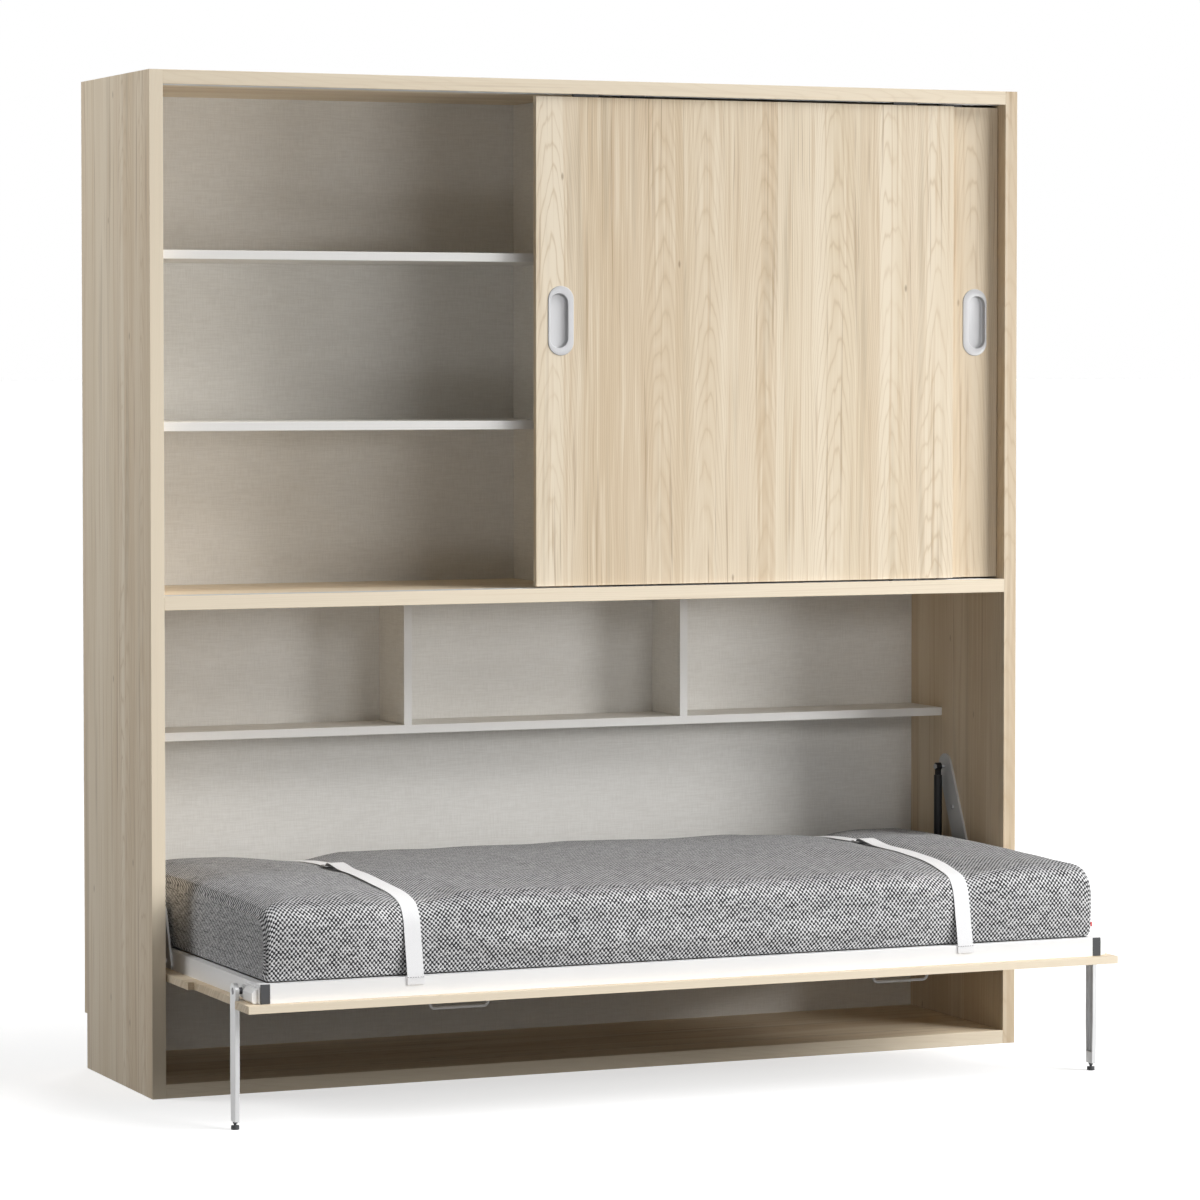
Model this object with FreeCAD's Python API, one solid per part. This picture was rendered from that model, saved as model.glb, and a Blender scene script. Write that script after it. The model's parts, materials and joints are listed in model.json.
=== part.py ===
import FreeCAD, Part
import math
import os

os.makedirs("parts", exist_ok=True)

# Cabinet carcass
cabinet_width = 2060.0
cabinet_height = 2170.0
cabinet_depth = 490.0
board = 30.0
niche_height = 1003.0
back_board = 10.0
back_gap = 19.0
back_groove = 8.0
skirting_height = 121.0
skirting_depth = 18.0

# Cupboard and bridge fittings
shelf_board = 19.0
divider_board = 38.0
shelf_setback = 64.0
bridge_height = 284.0
bridge_depth = 157.0

# Sliding doors and their tracks
door_overlap = 22.0
door_board = 16.0
door_setback = 12.0
door_gap = 8.0
door_end_gap = 1.0
door_foot_gap = 4.0
door_head_gap = 6.0
front_door_shift = 125.0
track_setback = 3.0
track_width = 54.0
track_height = 12.0
channel_width = 8.0
channel_depth = 10.0
glide_width = 6.0
glide_length = 60.0
glide_edge = 120.0
glide_root = 14.0
glide_play = 0.3

# Recessed pulls
pull_width = 61.0
pull_height = 152.0
pull_rim = 1.8
cup_width = 42.0
cup_height = 118.0
cup_depth = 11.0
cup_wall = 1.5
cup_offset = 4.75
pull_edge = 58.0
pull_play = 0.2

# Pivot of the bed and the closed bed's gaps in the niche
pivot_in = 124.5
pivot_height = 372.5
bed_top_gap = 5.0
bed_bottom_gap = 28.0
bed_side_gap = 3.0

# Bed panel and tube frame
bed_board = 16.0
frame_setback = 19.0
frame_back_gap = 51.0
rail_width = 20.0
rail_height = 40.0
rail_wall = 1.5
centre_rail_height = 30.0
cap_lip = 3.0
cap_plug = 15.0
cap_play = 0.2
slat_count = 14
slat_width = 60.0
slat_thickness = 8.0
slat_margin = 90.0
holder_wall = 2.0
holder_roof = 1.3
holder_reach = 24.0
holder_play = 0.2

# Side mechanism
mechanism_room = 35.0
plate_thickness = 5.0
lever_thickness = 5.0
pin_radius = 8.0
pin_collar = 11.0
pin_depth = 12.0
bush_radius = 11.0
pin_play = 0.05
face_play = 0.3
eye_in = 160.0
eye_rise = 240.0
eye_drop = 280.0
stud_radius = 4.0
eye_radius = 9.0
eye_width = 12.0
strut_radius = 9.5
strut_wall_gap = 20.0
strut_head = 20.0
strut_length = 237.0
rod_radius = 4.0
rod_end_gap = 4.0
clip_width = 2.5
screw_radius = 3.0
screw_head = 5.5
screw_length = 20.0
plate_eye = 30.0
plate_heel = 32.0
plate_hub = 40.0
heel_in = 35.5
heel_drop = 27.5
lever_hub = 30.0
lever_tip = 16.0
lever_foot = 8.0
bolt_radius = 4.0
bolt_head = 7.5
nut_width = 17.0
nut_height = 6.0

# Gravity legs
leg_thickness = 10.0
leg_wall = 2.0
leg_wall_gap = 4.5
leg_half_top = 16.0
leg_half_foot = 13.0
leg_in = 106.0
leg_axle_rise = 18.0
leg_bottom = 16.0
leg_taper_height = 90.0
leg_boss = 11.0
leg_play = 3.0
axle_radius = 7.0
bracket_length = 105.0
bracket_plate = 4.0
bracket_boss = 11.0
bracket_block = 17.0
foot_radius = 8.5
foot_height = 8.0
foot_stud = 3.0
foot_stud_length = 26.0

# Wire pull handles under the bed panel
handle_span = 128.0
handle_drop = 25.0
handle_wire = 3.0
handle_bend = 10.0
handle_end = 487.0
handle_in = 85.0

# Mattress, straps, buckles and tag
mattress_end_gap = 15.0
mattress_front_gap = 10.0
mattress_edge = 161.0
mattress_crown = 15.0
mattress_round = 22.0
mattress_drawn = 6.0
soft_gap = 0.3
strap_width = 36.0
strap_thickness = 1.5
strap_end = 318.0
strap_hem = 17.0
buckle_length = 26.0
buckle_width = 48.0
buckle_height = 5.0
buckle_bar = 5.0
buckle_back = 25.0
tag_length = 12.0
tag_height = 9.0
tag_thickness = 1.0

# Wall brackets
bracket_end = 310.0
angle_width = 30.0
angle_reach = 40.0
angle_rise = 30.0
angle_thickness = 3.0
angle_hole = 3.3
angle_hole_rise = 18.0

# Sizes that follow from the values above
half = cabinet_width / 2
inner = half - board
middle_z = board + niche_height
upper_floor = middle_z + board
upper_ceiling = cabinet_height - board
bed_reach = middle_z - bed_top_gap - pivot_height - pivot_in
face_y = (bed_reach - cabinet_depth) / 2
rear_y = face_y + cabinet_depth
back_face = rear_y - back_gap - back_board
pivot_y = face_y + pivot_in
panel_z = pivot_height - pivot_in
panel_front = face_y - bed_reach
panel_back = pivot_y + pivot_height - board - bed_bottom_gap
panel_half = inner - bed_side_gap
rail_z = panel_z + bed_board
rail_top = rail_z + rail_height
frame_front = panel_front + frame_setback
frame_back = panel_back - frame_back_gap
frame_half = inner - mechanism_room
rail_half = frame_half - rail_width
eye_y = pivot_y + eye_in
eye_z = pivot_height + eye_rise
tip_z = eye_z - eye_drop
strut_x = inner - strut_wall_gap
lever_face = frame_half + lever_thickness
plate_face = inner - plate_thickness
leg_outer = inner - leg_wall_gap
leg_inner = leg_outer - leg_thickness
leg_x = leg_outer - leg_thickness / 2
leg_y = panel_front + leg_in
leg_z = rail_z + leg_axle_rise
bridge_z = middle_z - bridge_height
mattress_half = frame_half - mattress_end_gap
mattress_front = frame_front + mattress_front_gap
mattress_width = frame_back - mattress_front
mattress_z = rail_top + soft_gap
strap_offset = mattress_half - strap_end
handle_offset = panel_half - handle_end
door_z = upper_floor + door_foot_gap
door_height = upper_ceiling - door_head_gap - door_z
door_width = inner + door_overlap
rear_door_x = inner - door_end_gap - door_width
front_door_x = rear_door_x - front_door_shift
front_door_y = face_y + door_setback
rear_door_y = front_door_y + door_board + door_gap
pull_z = door_z + door_height * 0.543


def at(x, y, z):
    return FreeCAD.Vector(x, y, z)


def block(x0, x1, y0, y1, z0, z1):
    return Part.makeBox(x1 - x0, y1 - y0, z1 - z0, at(x0, y0, z0))


def round_x(x0, x1, y, z, radius):
    return Part.makeCylinder(radius, x1 - x0, at(x0, y, z), at(1, 0, 0))


def round_z(x, y, z0, z1, radius):
    return Part.makeCylinder(radius, z1 - z0, at(x, y, z0))


def polygon(centre, first, second, radius, sides):
    ring = []
    for index in range(sides + 1):
        turn = 2 * math.pi * (index + 0.5) / sides
        ring.append(centre + first * (radius * math.cos(turn)) + second * (radius * math.sin(turn)))
    return Part.makePolygon(ring)


# Small bars of screws, bolts and nuts, with flat sides
def flats_x(x0, x1, y, z, radius, sides):
    ring = polygon(at(x0, y, z), at(0, 1, 0), at(0, 0, 1), radius, sides)
    return Part.Face(ring).extrude(at(x1 - x0, 0, 0))


def flats_z(x, y, z0, z1, radius, sides):
    ring = polygon(at(x, y, z0), at(1, 0, 0), at(0, 1, 0), radius, sides)
    return Part.Face(ring).extrude(at(0, 0, z1 - z0))


def other_side(shape):
    return shape.mirror(at(0, 0, 0), at(1, 0, 0))


def both_sides(shapes):
    return Part.makeCompound(shapes + [other_side(shape) for shape in shapes])


def save(name, shape):
    shape.exportStep("parts/" + name + ".step")


# Plate with straight edges tangent to a ring of circles, listed counter-clockwise as seen along -X
def tangent_plate(x, thickness, circles):
    count = len(circles)
    normals = []
    for index in range(count):
        y0, z0, r0 = circles[index]
        y1, z1, r1 = circles[(index + 1) % count]
        length = math.hypot(y1 - y0, z1 - z0)
        along = ((y1 - y0) / length, (z1 - z0) / length)
        lean = (r0 - r1) / length
        out = math.sqrt(1 - lean * lean)
        normals.append((lean * along[0] + out * along[1], lean * along[1] - out * along[0]))
    edges = []
    for index in range(count):
        y, z, radius = circles[index]
        enter = math.atan2(normals[index - 1][1], normals[index - 1][0])
        leave = math.atan2(normals[index][1], normals[index][0])
        sweep = (leave - enter) % (2 * math.pi)
        turn = [enter, enter + sweep / 2, enter + sweep]
        arc = [at(x, y + radius * math.cos(a), z + radius * math.sin(a)) for a in turn]
        edges.append(Part.Arc(arc[0], arc[1], arc[2]).toShape())
        y1, z1, r1 = circles[(index + 1) % count]
        end = at(x, y1 + r1 * normals[index][0], z1 + r1 * normals[index][1])
        edges.append(Part.makeLine(arc[2], end))
    return Part.Face(Part.Wire(edges)).extrude(at(thickness, 0, 0))


# Upright slot outline with half-round ends, in a plane facing the front
def slot_wire(x, y, z, width, height):
    r = width / 2
    s = height / 2 - r
    left_low = at(x - r, y, z - s)
    left_high = at(x - r, y, z + s)
    right_high = at(x + r, y, z + s)
    right_low = at(x + r, y, z - s)
    over = Part.Arc(left_high, at(x, y, z + s + r), right_high).toShape()
    under = Part.Arc(right_low, at(x, y, z - s - r), left_low).toShape()
    up = Part.makeLine(left_low, left_high)
    down = Part.makeLine(right_high, right_low)
    return Part.Wire([up, over, down, under])


def slot_prism(x, y, z, width, height, depth):
    return Part.Face(slot_wire(x, y, z, width, height)).extrude(at(0, depth, 0))


# Hexagon screw along X, its head on the face at x and its shank running outwards
def hex_screw(x, y, z, radius, head, length):
    shank = flats_x(x, x + length, y, z, radius, 8)
    cap = flats_x(x - head * 0.6, x, y, z, head, 6)
    return cap.fuse(shank)


# Side plate outline: a bar from the strut eye to the heel, and a hub round the pivot
def plate_circles():
    eye = (eye_y - stud_radius, eye_z, plate_eye)
    heel = (pivot_y + heel_in, pivot_height - heel_drop, plate_heel)
    hub = (pivot_y, pivot_height, plate_hub)
    return eye, heel, hub


def plate_screw_points():
    eye, heel, hub = plate_circles()
    points = []
    for share in (0.34, 0.72):
        points.append((eye[0] + (heel[0] - eye[0]) * share, eye[1] + (heel[1] - eye[1]) * share))
    points.append((heel[0] + plate_heel * 0.3, heel[1] - plate_heel * 0.4))
    return points


def side_plate():
    eye, heel, hub = plate_circles()
    bar = tangent_plate(plate_face, plate_thickness, [eye, heel])
    foot = tangent_plate(plate_face, plate_thickness, [heel, hub])
    plate = bar.fuse(foot).removeSplitter()
    plate = plate.cut(round_x(plate_face, inner, pivot_y, pivot_height, pin_radius))
    plate = plate.cut(round_x(plate_face, inner, eye_y, eye_z, stud_radius))
    for y, z in plate_screw_points():
        plate = plate.cut(flats_x(plate_face, inner, y, z, screw_radius, 8))
    return plate


def side_panel():
    panel = block(inner, half, face_y, rear_y, 0, cabinet_height)
    panel = panel.cut(block(inner, half, rear_y - skirting_depth, rear_y, 0, skirting_height))
    low = block(inner, inner + back_groove, back_face, back_face + back_board, board, middle_z)
    high = block(inner, inner + back_groove, back_face, back_face + back_board, upper_floor, upper_ceiling)
    panel = panel.cut(low).cut(high)
    panel = panel.cut(round_x(inner, inner + pin_depth, pivot_y, pivot_height, pin_radius))
    for y, z in plate_screw_points():
        panel = panel.cut(flats_x(inner, plate_face + screw_length, y, z, screw_radius, 8))
    return panel


def track_bar(face, rise):
    bar = track_bed(face, rise)
    for door_y in (front_door_y, rear_door_y):
        middle = door_y + door_board / 2
        low = min(face, face + rise * channel_depth)
        high = max(face, face + rise * channel_depth)
        bar = bar.cut(block(-inner, inner, middle - channel_width / 2, middle + channel_width / 2, low, high))
    return bar


def track_bed(face, rise):
    y = face_y + track_setback
    low = min(face, face + rise * track_height)
    return block(-inner, inner, y, y + track_width, low, low + track_height)


def angle_centres():
    return [bracket_end - half, half - bracket_end]


def angle_screw_points():
    y = rear_y - angle_reach * 0.65
    return [(x + side * angle_width * 0.25, y) for x in angle_centres() for side in (-1, 1)]


def wall_brackets():
    shapes = []
    for x in angle_centres():
        x0 = x - angle_width / 2
        x1 = x + angle_width / 2
        foot = block(x0, x1, rear_y - angle_reach, rear_y, cabinet_height, cabinet_height + angle_thickness)
        top = cabinet_height + angle_rise
        wing = block(x0, x1, rear_y - angle_thickness, rear_y, cabinet_height, top)
        hole_z = cabinet_height + angle_hole_rise
        start = at(x, rear_y - angle_thickness, hole_z)
        hole = Part.makeCylinder(angle_hole, angle_thickness, start, at(0, 1, 0))
        shape = foot.fuse(wing).removeSplitter().cut(hole)
        for sx, sy in angle_screw_points():
            plate_top = cabinet_height + angle_thickness
            shape = shape.cut(flats_z(sx, sy, cabinet_height, plate_top, screw_radius, 8))
        shapes.append(shape)
    return Part.makeCompound(shapes)


def cabinet_screws():
    places = plate_screw_points()
    shapes = [hex_screw(plate_face, y, z, screw_radius, screw_head, screw_length) for y, z in places]
    shapes = shapes + [other_side(shape) for shape in shapes]
    for x, y in angle_screw_points():
        top = cabinet_height + angle_thickness
        shank = flats_z(x, y, top - screw_length, top, screw_radius, 8)
        shapes.append(shank.fuse(flats_z(x, y, top, top + screw_radius, screw_head, 6)))
    return Part.makeCompound(shapes)


def top_panel():
    panel = block(-inner, inner, face_y, rear_y, upper_ceiling, cabinet_height)
    panel = panel.cut(track_bed(upper_ceiling, 1))
    for x, y in angle_screw_points():
        depth = screw_length - angle_thickness
        panel = panel.cut(flats_z(x, y, cabinet_height - depth, cabinet_height, screw_radius, 8))
    return panel


def middle_panel():
    panel = block(-inner, inner, face_y, rear_y, middle_z, upper_floor)
    return panel.cut(track_bed(upper_floor, -1))


def back_panel(z0, z1):
    reach = inner + back_groove
    return block(-reach, reach, back_face, back_face + back_board, z0, z1)


def upper_shelf(side, level):
    clear = (upper_ceiling - upper_floor - 2 * shelf_board) / 3
    z = upper_floor + clear + level * (clear + shelf_board)
    shelf = block(divider_board / 2, inner, face_y + shelf_setback, back_face, z, z + shelf_board)
    if side < 0:
        shelf = other_side(shelf)
    return shelf


def bridge_dividers():
    clear = (2 * inner - 2 * shelf_board) / 3
    x = clear / 2
    divider = block(x, x + shelf_board, back_face - bridge_depth, back_face, bridge_z, middle_z)
    return both_sides([divider])


# Pivot pin with a spacing collar between the side plate and the lever
def pivot_pin():
    pin = round_x(frame_half - clip_width, inner + pin_depth, pivot_y, pivot_height, pin_radius)
    collar = round_x(lever_face + face_play, plate_face, pivot_y, pivot_height, pin_collar)
    return pin.fuse(collar).removeSplitter()


def strut_pin():
    x0 = strut_x - eye_width / 2 - face_play
    pin = round_x(x0, inner, eye_y, eye_z, stud_radius)
    clip = flats_x(x0 - clip_width, x0, eye_y, eye_z, stud_radius + clip_width, 6)
    return pin.fuse(clip).removeSplitter()


def strut_cylinder():
    x0 = strut_x - eye_width / 2
    x1 = strut_x + eye_width / 2
    top = eye_z - strut_head
    low = top - strut_length
    eye = round_x(x0, x1, eye_y, eye_z, eye_radius)
    neck = block(x0, x1, eye_y - stud_radius, eye_y + stud_radius, top, eye_z)
    tube = round_z(strut_x, eye_y, low, top, strut_radius)
    shape = eye.fuse([neck, tube]).removeSplitter()
    shape = shape.cut(round_x(x0, x1, eye_y, eye_z, stud_radius + pin_play))
    return shape.cut(round_z(strut_x, eye_y, low, top - rod_end_gap, rod_radius + pin_play))


# Rod with its lower eye and the stud that faces the lever
def strut_rod():
    x0 = strut_x - eye_width / 2
    x1 = strut_x + eye_width / 2
    rod = round_z(strut_x, eye_y, tip_z, eye_z - strut_head - 2 * rod_end_gap, rod_radius)
    eye = round_x(x0, x1, eye_y, tip_z, eye_radius)
    stud = round_x(lever_face + face_play, x0, eye_y, tip_z, stud_radius + 1)
    return rod.fuse([eye, stud]).removeSplitter()


def lever_bolt_points():
    z = rail_z + rail_height * 0.42
    return [(pivot_y - lever_hub, z), (pivot_y + eye_in * 0.3, z), (pivot_y + eye_in * 0.8, z)]


def lever_plate():
    low = rail_z + 2 + lever_foot
    circles = [(pivot_y - lever_hub * 2, low, lever_foot), (eye_y + lever_foot, low, lever_foot)]
    circles += [(eye_y, tip_z, lever_tip), (pivot_y, pivot_height, lever_hub)]
    plate = tangent_plate(frame_half, lever_thickness, circles)
    plate = plate.cut(round_x(frame_half, lever_face, pivot_y, pivot_height, bush_radius))
    plate = plate.cut(flats_x(frame_half, lever_face, eye_y, tip_z, stud_radius + 1, 8))
    for y, z in lever_bolt_points():
        plate = plate.cut(flats_x(frame_half, lever_face, y, z, bolt_radius, 8))
    return plate


# Hexagon bolt through the lever into the wall of the side rail
def lever_bolt(y, z):
    shank = flats_x(frame_half - rail_wall, lever_face, y, z, bolt_radius, 8)
    cap = flats_x(lever_face, lever_face + bolt_radius, y, z, bolt_head, 6)
    return shank.fuse(cap)


def strut_nut():
    nut = flats_x(frame_half - nut_height, frame_half, eye_y, tip_z, nut_width / math.sqrt(3), 6)
    return nut.fuse(flats_x(frame_half, lever_face - 1, eye_y, tip_z, stud_radius + 1, 8))


def pivot_bush():
    tube = round_x(frame_half, lever_face, pivot_y, pivot_height, bush_radius)
    return tube.cut(round_x(frame_half, lever_face, pivot_y, pivot_height, pin_radius + pin_play))


def handle_points():
    places = (-handle_offset, handle_offset)
    return [place + side * handle_span / 2 for place in places for side in (-1, 1)]


def bed_screws():
    shapes = [lever_bolt(y, z) for y, z in lever_bolt_points()]
    shapes.append(strut_nut())
    shapes = shapes + [other_side(shape) for shape in shapes]
    y = panel_front + handle_in
    for x in handle_points():
        shank = flats_z(x, y, panel_z, rail_z, handle_wire * 0.7, 8)
        shapes.append(shank.fuse(flats_z(x, y, rail_z, rail_z + handle_wire, handle_wire * 1.4, 6)))
    return Part.makeCompound(shapes)


def bed_panel():
    panel = block(-panel_half, panel_half, panel_front, panel_back, panel_z, rail_z)
    front = leg_y - leg_half_top - leg_play
    back = leg_y + leg_z + leg_play
    cut_x = leg_inner - leg_play / 2
    rebate = block(cut_x, panel_half, front, back, panel_z, rail_z)
    panel = panel.cut(rebate).cut(other_side(rebate))
    for x in handle_points():
        panel = panel.cut(flats_z(x, panel_front + handle_in, panel_z, rail_z, handle_wire * 0.7, 8))
    return panel


# Wire handle, bent in short straight runs at its two corners
def wire_handle(place):
    y = panel_front + handle_in
    low = panel_z - handle_drop + handle_wire
    route = [at(place - handle_span / 2, y, panel_z)]
    for side in (-1, 1):
        for step in range(4):
            turn = math.radians(30 * (step if side < 0 else 3 - step))
            out = handle_span / 2 - handle_bend * (1 - math.cos(turn))
            route.append(at(place + side * out, y, low + handle_bend * (1 - math.sin(turn))))
    route.append(at(place + handle_span / 2, y, panel_z))
    ring = polygon(route[0], at(1, 0, 0), at(0, 1, 0), handle_wire, 8)
    return Part.makePolygon(route).makePipeShell([ring], True, False, 1)


def tube_x(x0, x1, y, height):
    outer = block(x0, x1, y, y + rail_width, rail_z, rail_z + height)
    low = rail_z + rail_wall
    high = rail_z + height - rail_wall
    return outer.cut(block(x0, x1, y + rail_wall, y + rail_width - rail_wall, low, high))


def side_rail():
    y0 = frame_front + cap_lip
    y1 = frame_back - cap_lip
    outer = block(rail_half, frame_half, y0, y1, rail_z, rail_top)
    low = rail_z + rail_wall
    high = rail_top - rail_wall
    rail = outer.cut(block(rail_half + rail_wall, frame_half - rail_wall, y0, y1, low, high))
    for y, z in lever_bolt_points():
        rail = rail.cut(flats_x(frame_half - rail_wall, frame_half, y, z, bolt_radius, 8))
    return rail


def rail_caps():
    skin = rail_wall + cap_play
    low = rail_z + skin
    high = rail_top - skin
    ends = [(frame_front, frame_front + cap_lip)]
    ends.append((frame_back - cap_lip, frame_back - cap_lip - cap_plug))
    shapes = []
    for lip, plug in ends:
        face = block(rail_half, frame_half, lip, lip + cap_lip, rail_z, rail_top)
        stem = block(rail_half + skin, frame_half - skin, plug, plug + cap_plug, low, high)
        shapes.append(face.fuse(stem).removeSplitter())
    return both_sides(shapes)


def slat_places():
    first = -rail_half + slat_margin
    step = (2 * rail_half - 2 * slat_margin) / (slat_count - 1)
    return [first + index * step for index in range(slat_count)]


def slat_height():
    return rail_z + centre_rail_height


def slats():
    reach = rail_width + holder_wall + holder_play
    y0 = frame_front + reach
    y1 = frame_back - reach
    z0 = slat_height()
    z1 = z0 + slat_thickness
    wide = slat_width / 2
    return Part.makeCompound([block(x - wide, x + wide, y0, y1, z0, z1) for x in slat_places()])


# Socket on the inner face of a long rail that takes one slat end
def slat_holders():
    wide = slat_width / 2 + holder_play
    z0 = slat_height() - holder_play
    z1 = slat_height() + slat_thickness + holder_play
    top = z1 + holder_roof
    out = wide + holder_wall
    shapes = []
    for x in slat_places():
        for wall, way in ((frame_front + rail_width, 1), (frame_back - rail_width, -1)):
            far = wall + way * holder_reach
            near = wall + way * holder_wall
            body = block(x - out, x + out, min(wall, far), max(wall, far), z0 - holder_wall, top)
            pocket = block(x - wide, x + wide, min(near, far), max(near, far), z0, z1)
            shapes.append(body.cut(pocket))
    return Part.makeCompound(shapes)


# Bracket on the end of the side rail: a bevelled block, a back plate and a boss for the leg's axle
def leg_bracket():
    y0 = frame_front + cap_lip
    y1 = y0 + bracket_length
    z0 = rail_z + 1
    z1 = leg_z + leg_half_top
    slope = leg_half_top
    ring = [(y0, z0), (y1, z0), (y1, leg_z), (y1 - slope, z1), (y0, z1), (y0, z0)]
    plate = Part.Face(Part.makePolygon([at(frame_half, y, z) for y, z in ring]))
    plate = plate.extrude(at(bracket_plate, 0, 0))
    boss = flats_x(frame_half, frame_half + bracket_boss, leg_y, leg_z, leg_half_top - 2, 16)
    bevel = bracket_plate
    outer = frame_half + bracket_block
    side = [(frame_half, z0), (outer - bevel, z0), (outer, z0 + bevel), (outer, z1 - 3 * bevel)]
    side += [(outer - 2 * bevel, z1 - bevel), (frame_half, z1 - bevel), (frame_half, z0)]
    lump = Part.Face(Part.makePolygon([at(x, y0 + bevel, z) for x, z in side]))
    lump = lump.extrude(at(0, leg_y - leg_half_top - y0 - 3 * bevel, 0))
    shape = plate.fuse([boss, lump]).removeSplitter()
    face = frame_half + bracket_plate
    return shape.cut(round_x(face, frame_half + bracket_boss, leg_y, leg_z, axle_radius))


def leg_axle():
    return round_x(frame_half + bracket_plate, leg_outer, leg_y, leg_z, axle_radius)


# Channel leg with a round head, open towards the bed, tapered above its foot
def leg():
    knee = leg_bottom + leg_taper_height
    web = leg_thickness - leg_wall
    head = [(leg_y, leg_z, leg_half_top), (leg_y, knee, leg_half_top)]
    body = tangent_plate(leg_inner, leg_thickness, head)
    inside = leg_half_top - leg_wall
    hollow = [(leg_y, leg_z, inside), (leg_y, knee - leg_half_top, inside)]
    body = body.cut(tangent_plate(leg_inner, web, hollow))
    wide = 2 * leg_half_top
    body = body.cut(block(leg_inner, leg_outer, leg_y - wide, leg_y + wide, 0, knee))
    ends = [(-leg_half_top, knee), (-leg_half_foot, leg_bottom)]
    ends += [(leg_half_foot, leg_bottom), (leg_half_top, knee), (-leg_half_top, knee)]
    shin = Part.Face(Part.makePolygon([at(leg_inner, leg_y + y, z) for y, z in ends]))
    shin = shin.extrude(at(leg_thickness, 0, 0))
    slim = leg_half_foot - leg_wall
    floor = leg_bottom + foot_stud_length
    core = [(-inside, knee), (-slim, floor), (slim, floor), (inside, knee), (-inside, knee)]
    gap = Part.Face(Part.makePolygon([at(leg_inner, leg_y + y, z) for y, z in core]))
    shin = shin.cut(gap.extrude(at(web, 0, 0)))
    boss = flats_x(leg_inner, leg_outer, leg_y, leg_z, leg_boss, 12)
    shape = body.fuse([shin, boss]).removeSplitter()
    shape = shape.cut(round_x(leg_inner, leg_outer, leg_y, leg_z, axle_radius + pin_play))
    return shape.cut(flats_z(leg_x, leg_y, leg_bottom, foot_height + foot_stud_length, foot_stud, 8))


def foot():
    pad = flats_z(leg_x, leg_y, 0, foot_height, foot_radius, 24)
    stud = flats_z(leg_x, leg_y, foot_height, foot_height + foot_stud_length, foot_stud, 8)
    nut = flats_z(leg_x, leg_y, leg_bottom - 4, leg_bottom, foot_stud * 1.7, 6)
    return pad.fuse([stud, nut]).removeSplitter()


# Mattress cross-section, drawn in at top and bottom and crowned, grown by a margin
def mattress_wire(x, inset, crown, grow):
    y0 = mattress_front + inset - grow
    y1 = frame_back - inset + grow
    z0 = mattress_z + inset * 0.5 - grow
    z1 = mattress_z + mattress_edge - inset + grow
    r = mattress_round + grow
    s = mattress_drawn
    k = r * (1 - math.sqrt(0.5))
    mid_y = (y0 + y1) / 2
    mid_z = (z0 + z1) / 2
    a = at(x, y0 + s + r, z0)
    b = at(x, y1 - s - r, z0)
    c = at(x, y1 - s, z0 + r)
    d = at(x, y1 - s, z1 - r)
    e = at(x, y1 - s - r, z1)
    f = at(x, y0 + s + r, z1)
    g = at(x, y0 + s, z1 - r)
    h = at(x, y0 + s, z0 + r)
    edges = [Part.makeLine(a, b)]
    edges.append(Part.Arc(b, at(x, y1 - s - k, z0 + k), c).toShape())
    edges.append(Part.Arc(c, at(x, y1, mid_z), d).toShape())
    edges.append(Part.Arc(d, at(x, y1 - s - k, z1 - k), e).toShape())
    edges.append(Part.Arc(e, at(x, mid_y, z1 + crown), f).toShape())
    edges.append(Part.Arc(f, at(x, y0 + s + k, z1 - k), g).toShape())
    edges.append(Part.Arc(g, at(x, y0, mid_z), h).toShape())
    edges.append(Part.Arc(h, at(x, y0 + s + k, z0 + k), a).toShape())
    return Part.Wire(edges)


def mattress():
    stations = [(0, 18, 0.4), (4, 8, 0.5), (14, 2, 0.6), (35, 0, 0.75), (250, 0, 1.0)]
    wires = []
    for place, inset, rise in stations:
        wires.append(mattress_wire(place - mattress_half, inset, mattress_crown * rise, 0))
    for place, inset, rise in reversed(stations):
        wires.append(mattress_wire(mattress_half - place, inset, mattress_crown * rise, 0))
    return Part.makeLoft(wires, True, True)


# Region inside a strap: the mattress section and the straight runs down to the long rails
def strap_region(x, grow):
    section = Part.Face(mattress_wire(x, 0, mattress_crown, grow))
    low = rail_top - strap_hem
    waist = mattress_z + mattress_edge / 2
    ring = [(frame_front - grow, low), (frame_back + grow, low), (frame_back + grow, rail_top)]
    ring += [(frame_back + grow, waist), (mattress_front - grow, waist), (frame_front - grow, rail_top)]
    ring.append(ring[0])
    runs = Part.Face(Part.makePolygon([at(x, y, z) for y, z in ring]))
    return section.extrude(at(strap_width, 0, 0)).fuse(runs.extrude(at(strap_width, 0, 0)))


def strap():
    x = strap_offset - strap_width / 2
    return strap_region(x, soft_gap + strap_thickness).cut(strap_region(x, soft_gap)).removeSplitter()


# Three-bar buckle lying on the strap
def buckle():
    x0 = strap_offset - buckle_width / 2
    x1 = strap_offset + buckle_width / 2
    middle = (mattress_front + frame_back) / 2
    span = (mattress_width - 2 * mattress_drawn - 2 * mattress_round) / 2
    bow = (span * span + mattress_crown * mattress_crown) / (2 * mattress_crown)
    rise = mattress_crown + math.sqrt(bow * bow - buckle_back * buckle_back) - bow
    z = mattress_z + mattress_edge + rise + strap_thickness + 3 * soft_gap
    y = middle + buckle_back
    shape = block(x0, x1, y - buckle_length / 2, y + buckle_length / 2, z, z + buckle_height)
    corners = [edge for edge in shape.Edges if edge.BoundBox.ZLength > buckle_height * 0.9]
    shape = shape.makeFillet(3.0, corners)
    slot = (buckle_length - 3 * buckle_bar) / 2
    top = z + buckle_height
    for start in (y - buckle_length / 2 + buckle_bar, y + buckle_bar / 2):
        shape = shape.cut(block(x0 + buckle_bar, x1 - buckle_bar, start, start + slot, z, top))
    shape.rotate(at(0, y, z), at(1, 0, 0), -math.degrees(math.asin(buckle_back / bow)))
    return shape


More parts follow.
